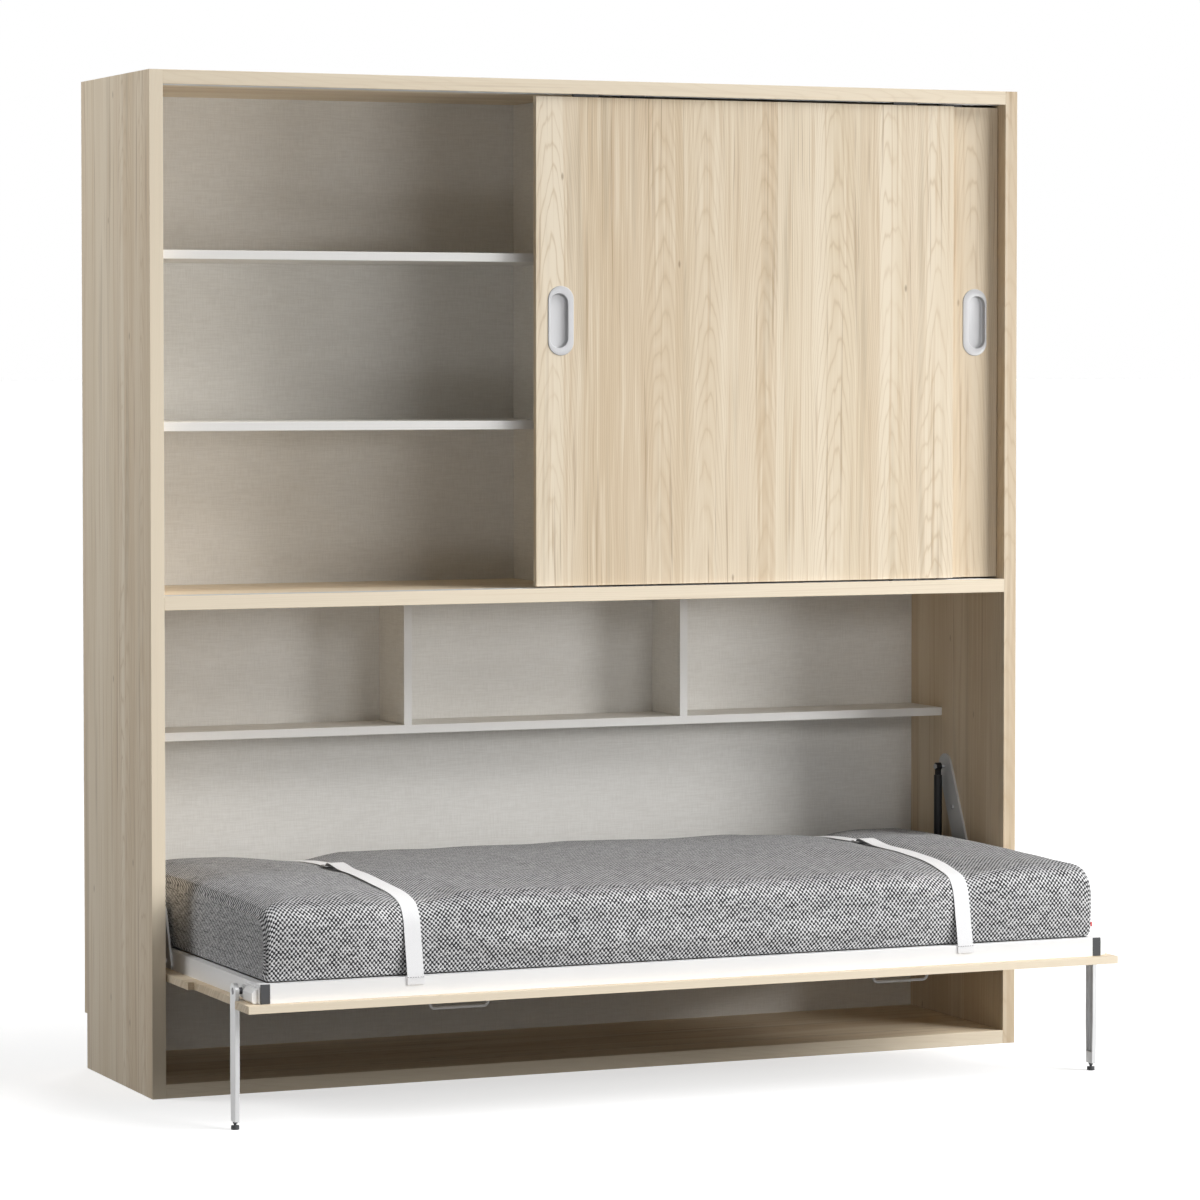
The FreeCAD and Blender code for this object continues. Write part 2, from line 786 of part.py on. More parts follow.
def tag():
    x = mattress_half + soft_gap
    y = mattress_front + 2 * mattress_round
    z = mattress_z + mattress_round
    return block(x, x + tag_thickness, y, y + tag_length, z, z + tag_height)


def pull_place(x, way):
    centre = x + door_width - pull_edge if way > 0 else x + pull_edge
    return centre


def cup_place(x, way):
    return pull_place(x, way) + way * cup_offset


def door_panel(x, y, way):
    panel = block(x, x + door_width, y, y + door_board, door_z, door_z + door_height)
    wide = cup_width + 2 * cup_wall + 2 * pull_play
    tall = cup_height + 2 * cup_wall + 2 * pull_play
    deep = cup_depth + cup_wall + pull_play
    panel = panel.cut(slot_prism(cup_place(x, way), y, pull_z, wide, tall, deep))
    for slot in glide_roots(x, y):
        panel = panel.cut(slot)
    return panel


def pull(x, y, way):
    centre = pull_place(x, way)
    cup = cup_place(x, way)
    rim = slot_prism(centre, y - pull_rim, pull_z, pull_width, pull_height, pull_rim)
    front = [edge for edge in rim.Edges if abs(edge.CenterOfMass.y - y + pull_rim) < 0.01]
    rim = rim.makeChamfer(pull_rim * 0.6, front)
    wide = cup_width + 2 * cup_wall
    tall = cup_height + 2 * cup_wall
    shell = slot_prism(cup, y, pull_z, wide, tall, cup_depth + cup_wall)
    hollow = slot_prism(cup, y - pull_rim, pull_z, cup_width, cup_height, pull_rim + cup_depth)
    return rim.fuse(shell).removeSplitter().cut(hollow)


def glide_centres(x):
    return [x + glide_edge, x + door_width - glide_edge]


def glide_roots(x, y):
    y0 = y + door_board / 2 - glide_width / 2
    roots = []
    for centre in glide_centres(x):
        x0 = centre - glide_length / 2
        top = door_z + door_height
        roots.append(block(x0, x0 + glide_length, y0, y0 + glide_width, door_z, door_z + glide_root))
        roots.append(block(x0, x0 + glide_length, y0, y0 + glide_width, top - glide_root, top))
    return roots


def glides(x, y):
    y0 = y + door_board / 2 - glide_width / 2
    low = upper_floor - channel_depth + glide_play
    high = upper_ceiling + channel_depth - glide_play
    shapes = []
    for centre in glide_centres(x):
        x0 = centre - glide_length / 2
        top = door_z + door_height
        shapes.append(block(x0, x0 + glide_length, y0, y0 + glide_width, low, door_z + glide_root))
        shapes.append(block(x0, x0 + glide_length, y0, y0 + glide_width, top - glide_root, high))
    return Part.makeCompound(shapes)


# Cabinet
right_panel = side_panel()
save("right_side_panel", right_panel)
save("left_side_panel", other_side(right_panel))
save("top_panel", top_panel())
save("middle_panel", middle_panel())
save("bottom_panel", block(-inner, inner, face_y, rear_y - skirting_depth, 0, board))
save("upper_back_panel", back_panel(upper_floor, upper_ceiling))
save("lower_back_panel", back_panel(board, middle_z))
divider_half = divider_board / 2
divider_y = face_y + shelf_setback
divider = block(-divider_half, divider_half, divider_y, back_face, upper_floor, upper_ceiling)
save("centre_divider", divider)
save("left_low_shelf", upper_shelf(-1, 0))
save("left_high_shelf", upper_shelf(-1, 1))
save("right_low_shelf", upper_shelf(1, 0))
save("right_high_shelf", upper_shelf(1, 1))
bridge_y = back_face - bridge_depth
save("bridge_shelf", block(-inner, inner, bridge_y, back_face, bridge_z - shelf_board, bridge_z))
save("bridge_dividers", bridge_dividers())
save("upper_door_track", track_bar(upper_ceiling, 1))
save("lower_door_track", track_bar(upper_floor, -1))
save("wall_brackets", wall_brackets())
save("cabinet_screws", cabinet_screws())

# Mechanism fixed to the cabinet, and the gas struts
right_plate = side_plate()
save("right_side_plate", right_plate)
save("left_side_plate", other_side(right_plate))
save("pivot_pins", both_sides([pivot_pin()]))
save("strut_pins", both_sides([strut_pin()]))
right_cylinder = strut_cylinder()
save("right_strut_cylinder", right_cylinder)
save("left_strut_cylinder", other_side(right_cylinder))
right_rod = strut_rod()
save("right_strut_rod", right_rod)
save("left_strut_rod", other_side(right_rod))

# Bed
save("bed_panel", bed_panel())
save("front_rail", tube_x(-rail_half, rail_half, frame_front, rail_height))
save("rear_rail", tube_x(-rail_half, rail_half, frame_back - rail_width, rail_height))
centre_y = (frame_front + frame_back - rail_width) / 2
save("centre_rail", tube_x(-rail_half, rail_half, centre_y, centre_rail_height))
right_rail = side_rail()
save("right_rail", right_rail)
save("left_rail", other_side(right_rail))
save("rail_caps", rail_caps())
save("slats", slats())
save("slat_holders", slat_holders())
right_lever = lever_plate()
save("right_lever", right_lever)
save("left_lever", other_side(right_lever))
save("pivot_bushes", both_sides([pivot_bush()]))
save("bed_screws", bed_screws())
save("leg_brackets", both_sides([leg_bracket()]))
save("leg_axles", both_sides([leg_axle()]))
save("left_handle", wire_handle(-handle_offset))
save("right_handle", wire_handle(handle_offset))
save("mattress", mattress())
save("mattress_tag", tag())
right_strap = strap()
save("right_strap", right_strap)
save("left_strap", other_side(right_strap))
right_buckle = buckle()
save("right_buckle", right_buckle)
save("left_buckle", other_side(right_buckle))

# Legs and feet
right_leg = leg()
save("right_leg", right_leg)
save("left_leg", other_side(right_leg))
right_foot = foot()
save("right_foot", right_foot)
save("left_foot", other_side(right_foot))

# Sliding doors
save("front_door", door_panel(front_door_x, front_door_y, -1))
save("front_door_pull", pull(front_door_x, front_door_y, -1))
save("front_door_glides", glides(front_door_x, front_door_y))
save("rear_door", door_panel(rear_door_x, rear_door_y, 1))
save("rear_door_pull", pull(rear_door_x, rear_door_y, 1))
save("rear_door_glides", glides(rear_door_x, rear_door_y))
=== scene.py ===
import json
import math

import bmesh
import bpy
from mathutils import Matrix, Vector, noise
from mathutils.bvhtree import BVHTree
from mathutils.geometry import convex_hull_2d

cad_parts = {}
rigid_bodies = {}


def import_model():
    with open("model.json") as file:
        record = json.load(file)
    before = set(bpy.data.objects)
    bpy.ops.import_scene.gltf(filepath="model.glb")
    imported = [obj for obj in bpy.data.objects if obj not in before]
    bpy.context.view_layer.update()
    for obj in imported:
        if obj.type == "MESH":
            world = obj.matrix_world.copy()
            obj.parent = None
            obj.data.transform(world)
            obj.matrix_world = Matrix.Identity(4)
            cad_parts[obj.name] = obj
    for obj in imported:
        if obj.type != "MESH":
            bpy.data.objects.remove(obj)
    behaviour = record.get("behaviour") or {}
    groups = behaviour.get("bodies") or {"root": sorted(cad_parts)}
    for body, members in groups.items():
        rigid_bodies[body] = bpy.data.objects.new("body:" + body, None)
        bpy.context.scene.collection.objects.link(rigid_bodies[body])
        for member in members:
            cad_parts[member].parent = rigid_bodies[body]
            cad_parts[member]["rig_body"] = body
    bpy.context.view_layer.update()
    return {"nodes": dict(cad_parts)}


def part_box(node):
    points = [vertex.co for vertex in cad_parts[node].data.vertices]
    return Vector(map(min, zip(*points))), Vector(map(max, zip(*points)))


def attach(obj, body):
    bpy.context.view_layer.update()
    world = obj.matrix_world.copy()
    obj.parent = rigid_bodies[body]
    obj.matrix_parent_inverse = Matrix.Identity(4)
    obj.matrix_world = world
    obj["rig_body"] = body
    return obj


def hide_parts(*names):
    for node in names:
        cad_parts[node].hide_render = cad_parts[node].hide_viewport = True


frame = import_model()
nodes = frame["nodes"]
scene = bpy.context.scene
print("frame loaded:", len(nodes), "nodes")


# small helpers for node trees and meshes

def feed(socket, value):  # a node's first output, another socket or a plain value
    value = value.outputs[0] if hasattr(value, "outputs") else value
    if hasattr(value, "links"):
        socket.id_data.links.new(value, socket)
    else:
        socket.default_value = value


def addNode(tree, kind, inputs=None, **settings):
    made = tree.nodes.new(kind)
    for key, value in settings.items():
        setattr(made, key, value)
    for key, value in (inputs or {}).items():
        feed(made.inputs[key], value)
    return made


def treeOf(*values):  # the node tree of the sockets among these values
    return next(value.id_data for value in values if hasattr(value, "links"))


def calc(operation, *values, clamp=False):
    inputs = dict(enumerate(values))
    return addNode(treeOf(*values), "ShaderNodeMath", inputs, operation=operation, use_clamp=clamp).outputs[0]


def times(first, second):
    return calc("MULTIPLY", first, second)


def timesPlus(first, factor, added):
    return calc("MULTIPLY_ADD", first, factor, added)


def rampOf(source, low, high):
    made = addNode(source.id_data, "ShaderNodeMapRange", {"Value": source, "From Min": low, "From Max": high},
                   interpolation_type="SMOOTHSTEP")
    return made.outputs["Result"]


def mixColor(factor, first, second):
    made = addNode(treeOf(factor, first, second), "ShaderNodeMix", {0: factor}, data_type="RGBA")
    for index, color in ((6, first), (7, second)):
        feed(made.inputs[index], color if hasattr(color, "links") else (*color, 1.0))
    return made.outputs[2]


def noiseOf(vector, scale=1.0, detail=2.0, rough=0.5):
    made = addNode(vector.id_data, "ShaderNodeTexNoise",
                   {"Vector": vector, "Scale": scale, "Detail": detail, "Roughness": rough})
    return made.outputs["Fac"]


def vectorOf(x, y, z=0.0):
    return addNode(treeOf(x, y, z), "ShaderNodeCombineXYZ", {0: x, 1: y, 2: z}).outputs[0]


def scaledVector(vector, *scale):
    made = addNode(vector.id_data, "ShaderNodeVectorMath", {0: vector, 1: scale}, operation="MULTIPLY")
    return made.outputs[0]


def separated(vector):
    return addNode(vector.id_data, "ShaderNodeSeparateXYZ", {0: vector}).outputs


def objectPlace(tree):
    return tree.nodes.new("ShaderNodeTexCoord").outputs["Object"]


def newGroup(name, inputs, outputs, kind="ShaderNodeTree"):
    tree = bpy.data.node_groups.new(name, kind)
    for way, sockets in (("INPUT", inputs), ("OUTPUT", outputs)):
        for label, socket in sockets.items():
            tree.interface.new_socket(label, in_out=way, socket_type="NodeSocket" + socket)
    return tree, tree.nodes.new("NodeGroupInput").outputs, tree.nodes.new("NodeGroupOutput").inputs


def addGroup(tree, group, inputs):
    return addNode(tree, "ShaderNodeGroup", inputs, node_tree=group).outputs


def newMaterial(name, metallic=0.0, roughness=0.5, specular=0.5):
    made = bpy.data.materials.new(name)
    made.use_nodes = True
    tree = made.node_tree
    tree.nodes.clear()
    values = {"Metallic": metallic, "Roughness": roughness, "Specular IOR Level": specular}
    shader = addNode(tree, "ShaderNodeBsdfPrincipled", values)
    addNode(tree, "ShaderNodeOutputMaterial", {0: shader})
    return made, tree, shader


def dress(shader, color, height, strength, distance, roughness=None):
    feed(shader.inputs["Base Color"], color)
    if roughness:
        feed(shader.inputs["Roughness"], roughness)
    bump = addNode(shader.id_data, "ShaderNodeBump",
                   {"Height": height, "Strength": strength, "Distance": distance})
    feed(shader.inputs["Normal"], bump)


def addObject(name, data):
    made = bpy.data.objects.new(name, data)
    scene.collection.objects.link(made)
    return made


def paint(mesh, material):
    mesh.materials.clear()
    mesh.materials.append(material)


def newPiece(name, mesh, material, body, replaced=(), smooth=None):
    piece = addObject(name, mesh)
    paint(mesh, material)
    if smooth:
        smoothByAngle(mesh, smooth)
    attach(piece, body)
    if replaced:
        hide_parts(*replaced)
    return piece


def smoothByAngle(mesh, angle):
    mesh.shade_smooth()
    mesh.set_sharp_from_angle(angle=math.radians(angle))


def meshOf(name, points, faces):
    mesh = bpy.data.meshes.new(name)
    mesh.from_pydata(points, [], faces)
    mesh.update()
    return mesh


def turnOutwards(mesh, facing=None):
    work = bmesh.new()
    work.from_mesh(mesh)
    bmesh.ops.remove_doubles(work, verts=work.verts, dist=1e-6)
    bmesh.ops.recalc_face_normals(work, faces=work.faces)
    if facing and sum(face.normal.dot(facing) * face.calc_area() for face in work.faces) < 0:
        bmesh.ops.reverse_faces(work, faces=work.faces)  # an open shell turned towards its front
    work.to_mesh(mesh)
    work.free()


def addModifier(piece, kind, **settings):
    modifier = piece.modifiers.new(kind.lower(), kind)
    for key, value in settings.items():
        setattr(modifier, key, value)
    return modifier


def finishedMesh(piece):  # the piece with its modifiers applied, as a plain mesh
    graph = bpy.context.evaluated_depsgraph_get()
    made = bpy.data.meshes.new_from_object(piece.evaluated_get(graph), depsgraph=graph)
    made.name = piece.name
    bpy.data.objects.remove(piece)
    return made


def thickened(name, mesh, thick, offset):
    piece = addObject(name, mesh)
    addModifier(piece, "SOLIDIFY", thickness=thick, offset=offset)
    return finishedMesh(piece)


def closedBand(first, second):  # quads between two rings of point numbers
    count = len(first)
    return [(first[k], second[k], second[(k + 1) % count], first[(k + 1) % count]) for k in range(count)]


def gridFaces(rows, columns):
    starts = [row * columns + column for row in range(rows - 1) for column in range(columns - 1)]
    return [(a, a + 1, a + columns + 1, a + columns) for a in starts]


def spaced(first, last, count):
    return [first + (last - first) * index / count for index in range(count + 1)]


def runsOf(points):  # the length along a line, up to each of its points
    runs = [0.0]
    for before, after in zip(points, points[1:]):
        runs.append(runs[-1] + math.dist(before, after))
    return runs


# shader groups

def mapleGroup():
    rates = {"plank": 8.5, "strip": 19.0, "spread": 0.9, "arch": 1700.0, "archStep": 12.0, "line": 190.0,
             "sway": 0.022, "knotAcross": 7.0, "knotAlong": 2.6, "knotCore": 0.006, "knotRim": 0.030}
    tones = {"base": (0.775, 0.650, 0.475), "cream": (0.900, 0.790, 0.625), "tan": (0.640, 0.485, 0.312),
             "brown": (0.400, 0.265, 0.150), "grey": (0.520, 0.425, 0.300), "knot": (0.270, 0.170, 0.095)}
    # tone, strength, rates across and along the grain, layer, detail and the noise that shows
    streaks = [
        ("cream", 0.56, 140.0, 2.2, 2.0, 2.0, 0.51, 0.66), ("tan", 0.64, 120.0, 1.7, 5.0, 2.0, 0.54, 0.70),
        ("brown", 0.66, 84.0, 1.6, 8.0, 3.0, 0.60, 0.71), ("grey", 0.50, 24.0, 1.1, 11.0, 3.0, 0.55, 0.71),
    ]
    tree, given, out = newGroup(
        "mapleGrain", {"Across": "Float", "Along": "Float", "Shift": "Float"},
        {"Color": "Color", "Height": "Float", "Roughness": "Float"})
    straight = timesPlus(given["Shift"], 3.17, given["Across"])
    along = timesPlus(given["Shift"], 1.91, given["Along"])
    drift = vectorOf(times(straight, 3.0), times(along, 1.1))
    across = timesPlus(noiseOf(drift), rates["sway"], straight)  # grain wanders a little

    def stretched(acrossRate, alongRate, layer=0.0):
        return vectorOf(times(across, acrossRate), times(along, alongRate), layer)

    def grain(acrossRate, alongRate, layer, detail=2.0):
        return noiseOf(stretched(acrossRate, alongRate, layer), detail=detail)

    def patches(acrossRate, alongRate, layer, low, high, detail=2.0):  # shows between two noise levels
        return rampOf(grain(acrossRate, alongRate, layer, detail), low, high)

    def stain(color, mask, share, tone):  # share is how strongly the tone covers the mask
        return mixColor(times(mask, share), color, tones[tone])

    def cells(dimensions, inputs):  # a pattern of cells, with three draws for each of them
        made = addNode(tree, "ShaderNodeTexVoronoi", inputs, voronoi_dimensions=dimensions).outputs
        return made, addNode(tree, "ShaderNodeSeparateColor", {0: made["Color"]}).outputs

    plank, plankDraw = cells("1D", {"W": across, "Scale": rates["plank"], "Randomness": rates["spread"]})
    _, stripDraw = cells("1D", {"W": across, "Scale": rates["strip"], "Randomness": rates["spread"]})
    color = mixColor(patches(11.0, 0.35, 0.0, 0.38, 0.66), tones["base"], tones["cream"])
    color = stain(color, rampOf(plankDraw[0], 0.55, 0.75), 0.52, "tan")
    color = stain(color, rampOf(stripDraw[0], 0.60, 0.85), 0.36, "cream")
    color = stain(color, rampOf(stripDraw[1], 0.62, 0.88), 0.38, "tan")
    for tone, share, acrossRate, alongRate, layer, detail, low, high in streaks:
        color = stain(color, patches(acrossRate, alongRate, layer, low, high, detail), share, tone)
    # arched contour lines in some planks, straight ones in the others, showing in patches
    fromHeart = calc("SUBTRACT", across, plank["W"])
    lengthwise = timesPlus(plankDraw[2], 7.3, along)
    climb = times(lengthwise, rates["archStep"])
    arch = timesPlus(times(fromHeart, fromHeart), rates["arch"], climb)
    arched = calc("GREATER_THAN", plankDraw[1], 0.52)
    contour = addNode(tree, "ShaderNodeMix", {0: arched, 2: times(across, rates["line"]), 3: arch})
    phase = timesPlus(grain(16.0, 2.2, 14.0, 3.0), 5.0, contour.outputs[0])
    wave = timesPlus(calc("SINE", times(phase, 2 * math.pi)), 0.5, 0.5)
    line = times(calc("POWER", wave, 11.0), patches(9.0, 1.5, 17.0, 0.28, 0.58))
    flame = calc("POWER", calc("SUBTRACT", 1.0, wave), 2.0)  # a pale band beside each line
    color = stain(color, flame, 0.16, "cream")
    color = stain(color, line, 0.44, "tan")
    color = stain(color, calc("POWER", line, 3.0), 0.16, "grey")
    thin = times(patches(230.0, 0.8, 23.0, 0.63, 0.72), patches(7.0, 1.2, 26.0, 0.48, 0.62))
    color = stain(color, thin, 0.75, "brown")
    knotPlace = stretched(rates["knotAcross"], rates["knotAlong"])
    knot, knotDraw = cells("2D", {"Vector": knotPlace, "Scale": 1.0})
    around = rampOf(knot["Distance"], rates["knotCore"], rates["knotRim"])
    spot = calc("SUBTRACT", 1.0, around)
    color = stain(color, times(spot, calc("GREATER_THAN", knotDraw[0], 0.70)), 0.62, "knot")
    fibre = grain(640.0, 9.0, 20.0)
    color = stain(color, rampOf(fibre, 0.35, 0.70), 0.14, "cream")
    feed(out["Color"], color)
    feed(out["Height"], timesPlus(line, -0.5, times(fibre, 0.5)))
    feed(out["Roughness"], timesPlus(fibre, 0.12, 0.44))
    return tree


def linenGroup():
    tree, given, out = newGroup("linenThreads", {"Place": "Vector"}, {"Thread": "Float", "Height": "Float"})
    fine = 430.0  # rates per metre, across the threads and along them
    long = 30.0
    upright = noiseOf(scaledVector(given[0], fine, fine, long), rough=0.6)
    level = noiseOf(scaledVector(given[0], long, long, fine), rough=0.6)
    cloud = noiseOf(scaledVector(given[0], 14.0, 14.0, 14.0))
    crossing = calc("ADD", times(upright, 0.5), times(level, 0.5))
    thread = timesPlus(cloud, 0.12, times(crossing, 0.88))
    feed(out["Thread"], rampOf(thread, 0.32, 0.68))
    feed(out["Height"], crossing)
    return tree


def coatGroup():
    tree, given, out = newGroup("coatPeel", {"Place": "Vector", "Scale": "Float"},
                                {"Height": "Float", "Smudge": "Float"})
    scaled = addNode(tree, "ShaderNodeVectorMath", {0: given["Place"], 3: given["Scale"]}, operation="SCALE")
    feed(out["Height"], noiseOf(scaled.outputs[0]))
    feed(out["Smudge"], noiseOf(given["Place"], 7.0, detail=4.0, rough=0.6))
    return tree


mapleGrain = mapleGroup()
linenThreads = linenGroup()
coatPeel = coatGroup()


# finishes

edgeStripDepth = 0.0009


def edgeBandAndHighlight(color, front, share, tone):  # the paler strip on a board's front edge: partly an edging band, partly painted highlight where the front edges catch more light
    strip = calc("LESS_THAN", separated(objectPlace(treeOf(color)))[1], front + edgeStripDepth)
    return mixColor(times(strip, share), color, tone)


def mapleMaterial(name, along, shift, front=0.0, bandAndHighlight=0.0, paintedShade=0.0):
    made, tree, shader = newMaterial(name, specular=0.16)
    place = separated(objectPlace(tree))
    across = calc("ADD", *[place[index] for index in range(3) if index != along])
    grain = addGroup(tree, mapleGrain, {"Across": across, "Along": place[along], "Shift": shift})
    color = grain["Color"]
    # painted shade: the whole board mixed towards brown, standing in for the shade on the set-back rear door
    # and on the right side panel inside the niche
    if paintedShade:
        color = mixColor(paintedShade, color, (0.56, 0.42, 0.27))
    # the paler front edge strip: partly an edging band, partly painted highlight
    if bandAndHighlight:
        color = edgeBandAndHighlight(color, front, bandAndHighlight, (0.92, 0.81, 0.64))
    dress(shader, color, grain["Height"], strength=0.12, distance=0.0006, roughness=grain["Roughness"])
    return made


def linenMaterial(name, front=0.0, bandAndHighlight=0.0):
    made, tree, shader = newMaterial(name, roughness=0.62, specular=0.25)
    threads = addGroup(tree, linenThreads, {"Place": objectPlace(tree)})
    color = mixColor(threads["Thread"], (0.77, 0.75, 0.71), (0.87, 0.855, 0.82))
    # the paler front edge strip of the shelf: partly an edging band, partly painted highlight
    if bandAndHighlight:
        color = edgeBandAndHighlight(color, front, bandAndHighlight, (0.86, 0.85, 0.83))
    dress(shader, color, threads["Height"], strength=0.18, distance=0.0004)
    return made


def coatedMaterial(name, color, metallic, roughness, peel, depth=0.0002, specular=0.5):
    made, tree, shader = newMaterial(name, metallic, roughness, specular)
    coat = addGroup(tree, coatPeel, {"Place": objectPlace(tree), "Scale": peel})
    shade = mixColor(coat["Smudge"], [value * 0.93 for value in color], color)
    dull = timesPlus(coat["Smudge"], 0.12, roughness - 0.06)
    dress(shader, shade, coat["Height"], strength=0.15, distance=depth, roughness=dull)
    return made


def brushedMaterial(name, color, roughness, stretch, metallic=1.0):
    made, tree, shader = newMaterial(name, metallic, roughness)
    brush = noiseOf(scaledVector(objectPlace(tree), *stretch), detail=3.0)
    shade = mixColor(brush, [value * 0.86 for value in color], color)
    dull = timesPlus(brush, 0.16, roughness - 0.08)
    dress(shader, shade, brush, strength=0.08, distance=0.0002, roughness=dull)
    return made


def weaveMaterial():
    sizes = {"across": 0.00458, "along": 0.0054, "wander": 0.0013, "topShadeFrom": 0.438, "topShadeTo": 0.464}
    made, tree, shader = newMaterial("mattressWeave", roughness=0.85, specular=0.2)
    shader.inputs["Sheen Weight"].default_value = 0.1
    uv = tree.nodes.new("ShaderNodeUVMap").outputs[0]
    drift = addNode(tree, "ShaderNodeTexNoise", {"Vector": uv, "Scale": 70.0, "Detail": 3.0})
    wander = scaledVector(drift.outputs["Color"], sizes["wander"], sizes["wander"], 0.0)
    part = separated(addNode(tree, "ShaderNodeVectorMath", {0: wander, 1: uv}, operation="ADD").outputs[0])
    yarns = [calc("SINE", times(part[index], math.pi / sizes[label]))
             for index, label in ((0, "across"), (1, "along"))]
    weave = times(*yarns)  # over and under, one yarn each way
    fuzz = noiseOf(uv, 280.0)
    slub = noiseOf(scaledVector(uv, 38.0, 110.0, 1.0), detail=3.0, rough=0.6)
    cloud = noiseOf(scaledVector(uv, 9.0, 7.0, 1.0))
    lean = calc("ADD", timesPlus(fuzz, 1.3, -0.65), timesPlus(slub, 1.1, -0.55))
    pale = rampOf(calc("ADD", weave, lean), -0.16, 0.26)
    paleYarn = mixColor(timesPlus(cloud, 0.8, 0.1), (0.66, 0.66, 0.67), (0.92, 0.92, 0.92))
    darkYarn = mixColor(rampOf(slub, 0.35, 0.7), (0.018, 0.018, 0.021), (0.060, 0.060, 0.065))
    # painted shade: the upper side is a little greyer, standing in for the darker look of the weave under
    # grazing light
    height = separated(objectPlace(tree))[2]
    paintedTopShade = times(rampOf(height, sizes["topShadeFrom"], sizes["topShadeTo"]), 0.60)
    paleYarn = mixColor(paintedTopShade, paleYarn, (0.36, 0.36, 0.37))
    relief = timesPlus(fuzz, 0.3, calc("ABSOLUTE", weave))
    dress(shader, mixColor(pale, darkYarn, paleYarn), relief, strength=0.5, distance=0.0012)
    return made


def webMaterial():
    made, tree, shader = newMaterial("strapWebbing", roughness=0.75, specular=0.25)
    uv = tree.nodes.new("ShaderNodeUVMap").outputs[0]
    part = separated(uv)
    ribRate = 3600.0
    twill = calc("SINE", timesPlus(part[0], ribRate, times(part[1], ribRate)))
    rib = timesPlus(twill, 0.5, 0.5)
    soil = noiseOf(scaledVector(uv, 40.0, 12.0, 1.0), detail=3.0)
    shade = mixColor(rib, (0.84, 0.84, 0.85), (0.94, 0.94, 0.95))
    soiled = times(rampOf(soil, 0.5, 0.8), 0.25)
    dress(shader, mixColor(soiled, shade, (0.76, 0.76, 0.77)), rib, strength=0.25, distance=0.0003)
    return made


linenBack = linenMaterial("linenBack")
# color, metallic, roughness, peel per metre, its depth and specular
whiteCoat = coatedMaterial("whitePowderCoat", (0.95, 0.95, 0.95), 0.0, 0.38, 900.0)
greyCoat = coatedMaterial("greyPlateCoat", (0.66, 0.67, 0.68), 0.45, 0.42, 700.0)
legCoat = coatedMaterial("silverLegCoat", (0.78, 0.785, 0.79), 0.35, 0.36, 800.0)
blackCoat = coatedMaterial("blackStrutCoat", (0.012, 0.012, 0.013), 0.0, 0.34, 600.0, 0.0002, 0.25)
darkPlastic = coatedMaterial("darkMouldedPlastic", (0.045, 0.046, 0.05), 0.0, 0.5, 1400.0, 0.0003)
nylon = coatedMaterial("paleNylon", (0.72, 0.72, 0.70), 0.0, 0.5, 900.0)
darkNylon = coatedMaterial("darkNylon", (0.03, 0.03, 0.032), 0.0, 0.55, 900.0)
tagRed = coatedMaterial("tagRed", (0.62, 0.03, 0.035), 0.0, 0.8, 2500.0, 0.0003, 0.2)
stitchThread = coatedMaterial("stitchThread", (0.30, 0.30, 0.31), 0.0, 0.8, 3000.0, 0.0002, 0.2)
# color, roughness, brushing per metre along each axis and metallic
bareSteel = brushedMaterial("bareSteel", (0.56, 0.56, 0.58), 0.34, (300.0, 300.0, 300.0))
rodChrome = brushedMaterial("rodChrome", (0.75, 0.75, 0.76), 0.14, (60.0, 60.0, 900.0))
darkSteel = brushedMaterial("darkSteel", (0.16, 0.16, 0.17), 0.42, (900.0, 200.0, 200.0))
trackAluminium = brushedMaterial("trackAluminium", (0.74, 0.74, 0.74), 0.38, (4.0, 900.0, 900.0), 0.8)
pullSatin = brushedMaterial("pullSatin", (0.57, 0.57, 0.58), 0.34, (900.0, 400.0, 30.0), 0.1)
buckleNickel = brushedMaterial("buckleNickel", (0.48, 0.48, 0.49), 0.32, (200.0, 900.0, 200.0), 0.6)
slatWood = mapleMaterial("slatWood", 1, 6.3)
mattressWeave = weaveMaterial()
strapWebbing = webMaterial()
print("finishes made:", len(bpy.data.materials))


# rigid pieces: each CAD piece that shows, with softened edges

softSizes = {
    "merge": 2e-5, "flatAngle": 0.6, "bevelAngle": 32.0, "segments": 2, "smoothAngle": 20, "flatArea": 0.0004,
    # the shelves' pale front edge strip share: partly an edging band, partly painted highlight
    "boardEdge": 0.0008, "shelfBandAndHighlight": 0.8,
}
flatSlots = ("maple", "linen", "grey_steel")  # wide faces of these keep one normal, also round their holes


def softPiece(node, material, slot, edge):
    s = softSizes
    work = bmesh.new()
    work.from_mesh(nodes[node].data)
    bmesh.ops.remove_doubles(work, verts=work.verts, dist=s["merge"])
    flat = math.radians(s["flatAngle"])
    bmesh.ops.dissolve_limit(work, angle_limit=flat, verts=work.verts, edges=work.edges)
    work.verts.index_update()
    points = [tuple(vert.co) for vert in work.verts]
    faces = [[vert.index for vert in face.verts] for face in work.faces]
    work.free()
    piece = addObject(node + "_soft", meshOf(node, points, faces))
    addModifier(piece, "BEVEL", width=edge, segments=s["segments"], limit_method="ANGLE",
                angle_limit=math.radians(s["bevelAngle"]), use_clamp_overlap=True)
    mesh = finishedMesh(piece)
    smoothByAngle(mesh, s["smoothAngle"])  # flat faces stay flat, turned ones stay round
    if slot in flatSlots:
        for face in mesh.polygons:
            face.use_smooth = face.area < s["flatArea"]
    newPiece(node + "_finish", mesh, material, nodes[node]["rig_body"], (node,))


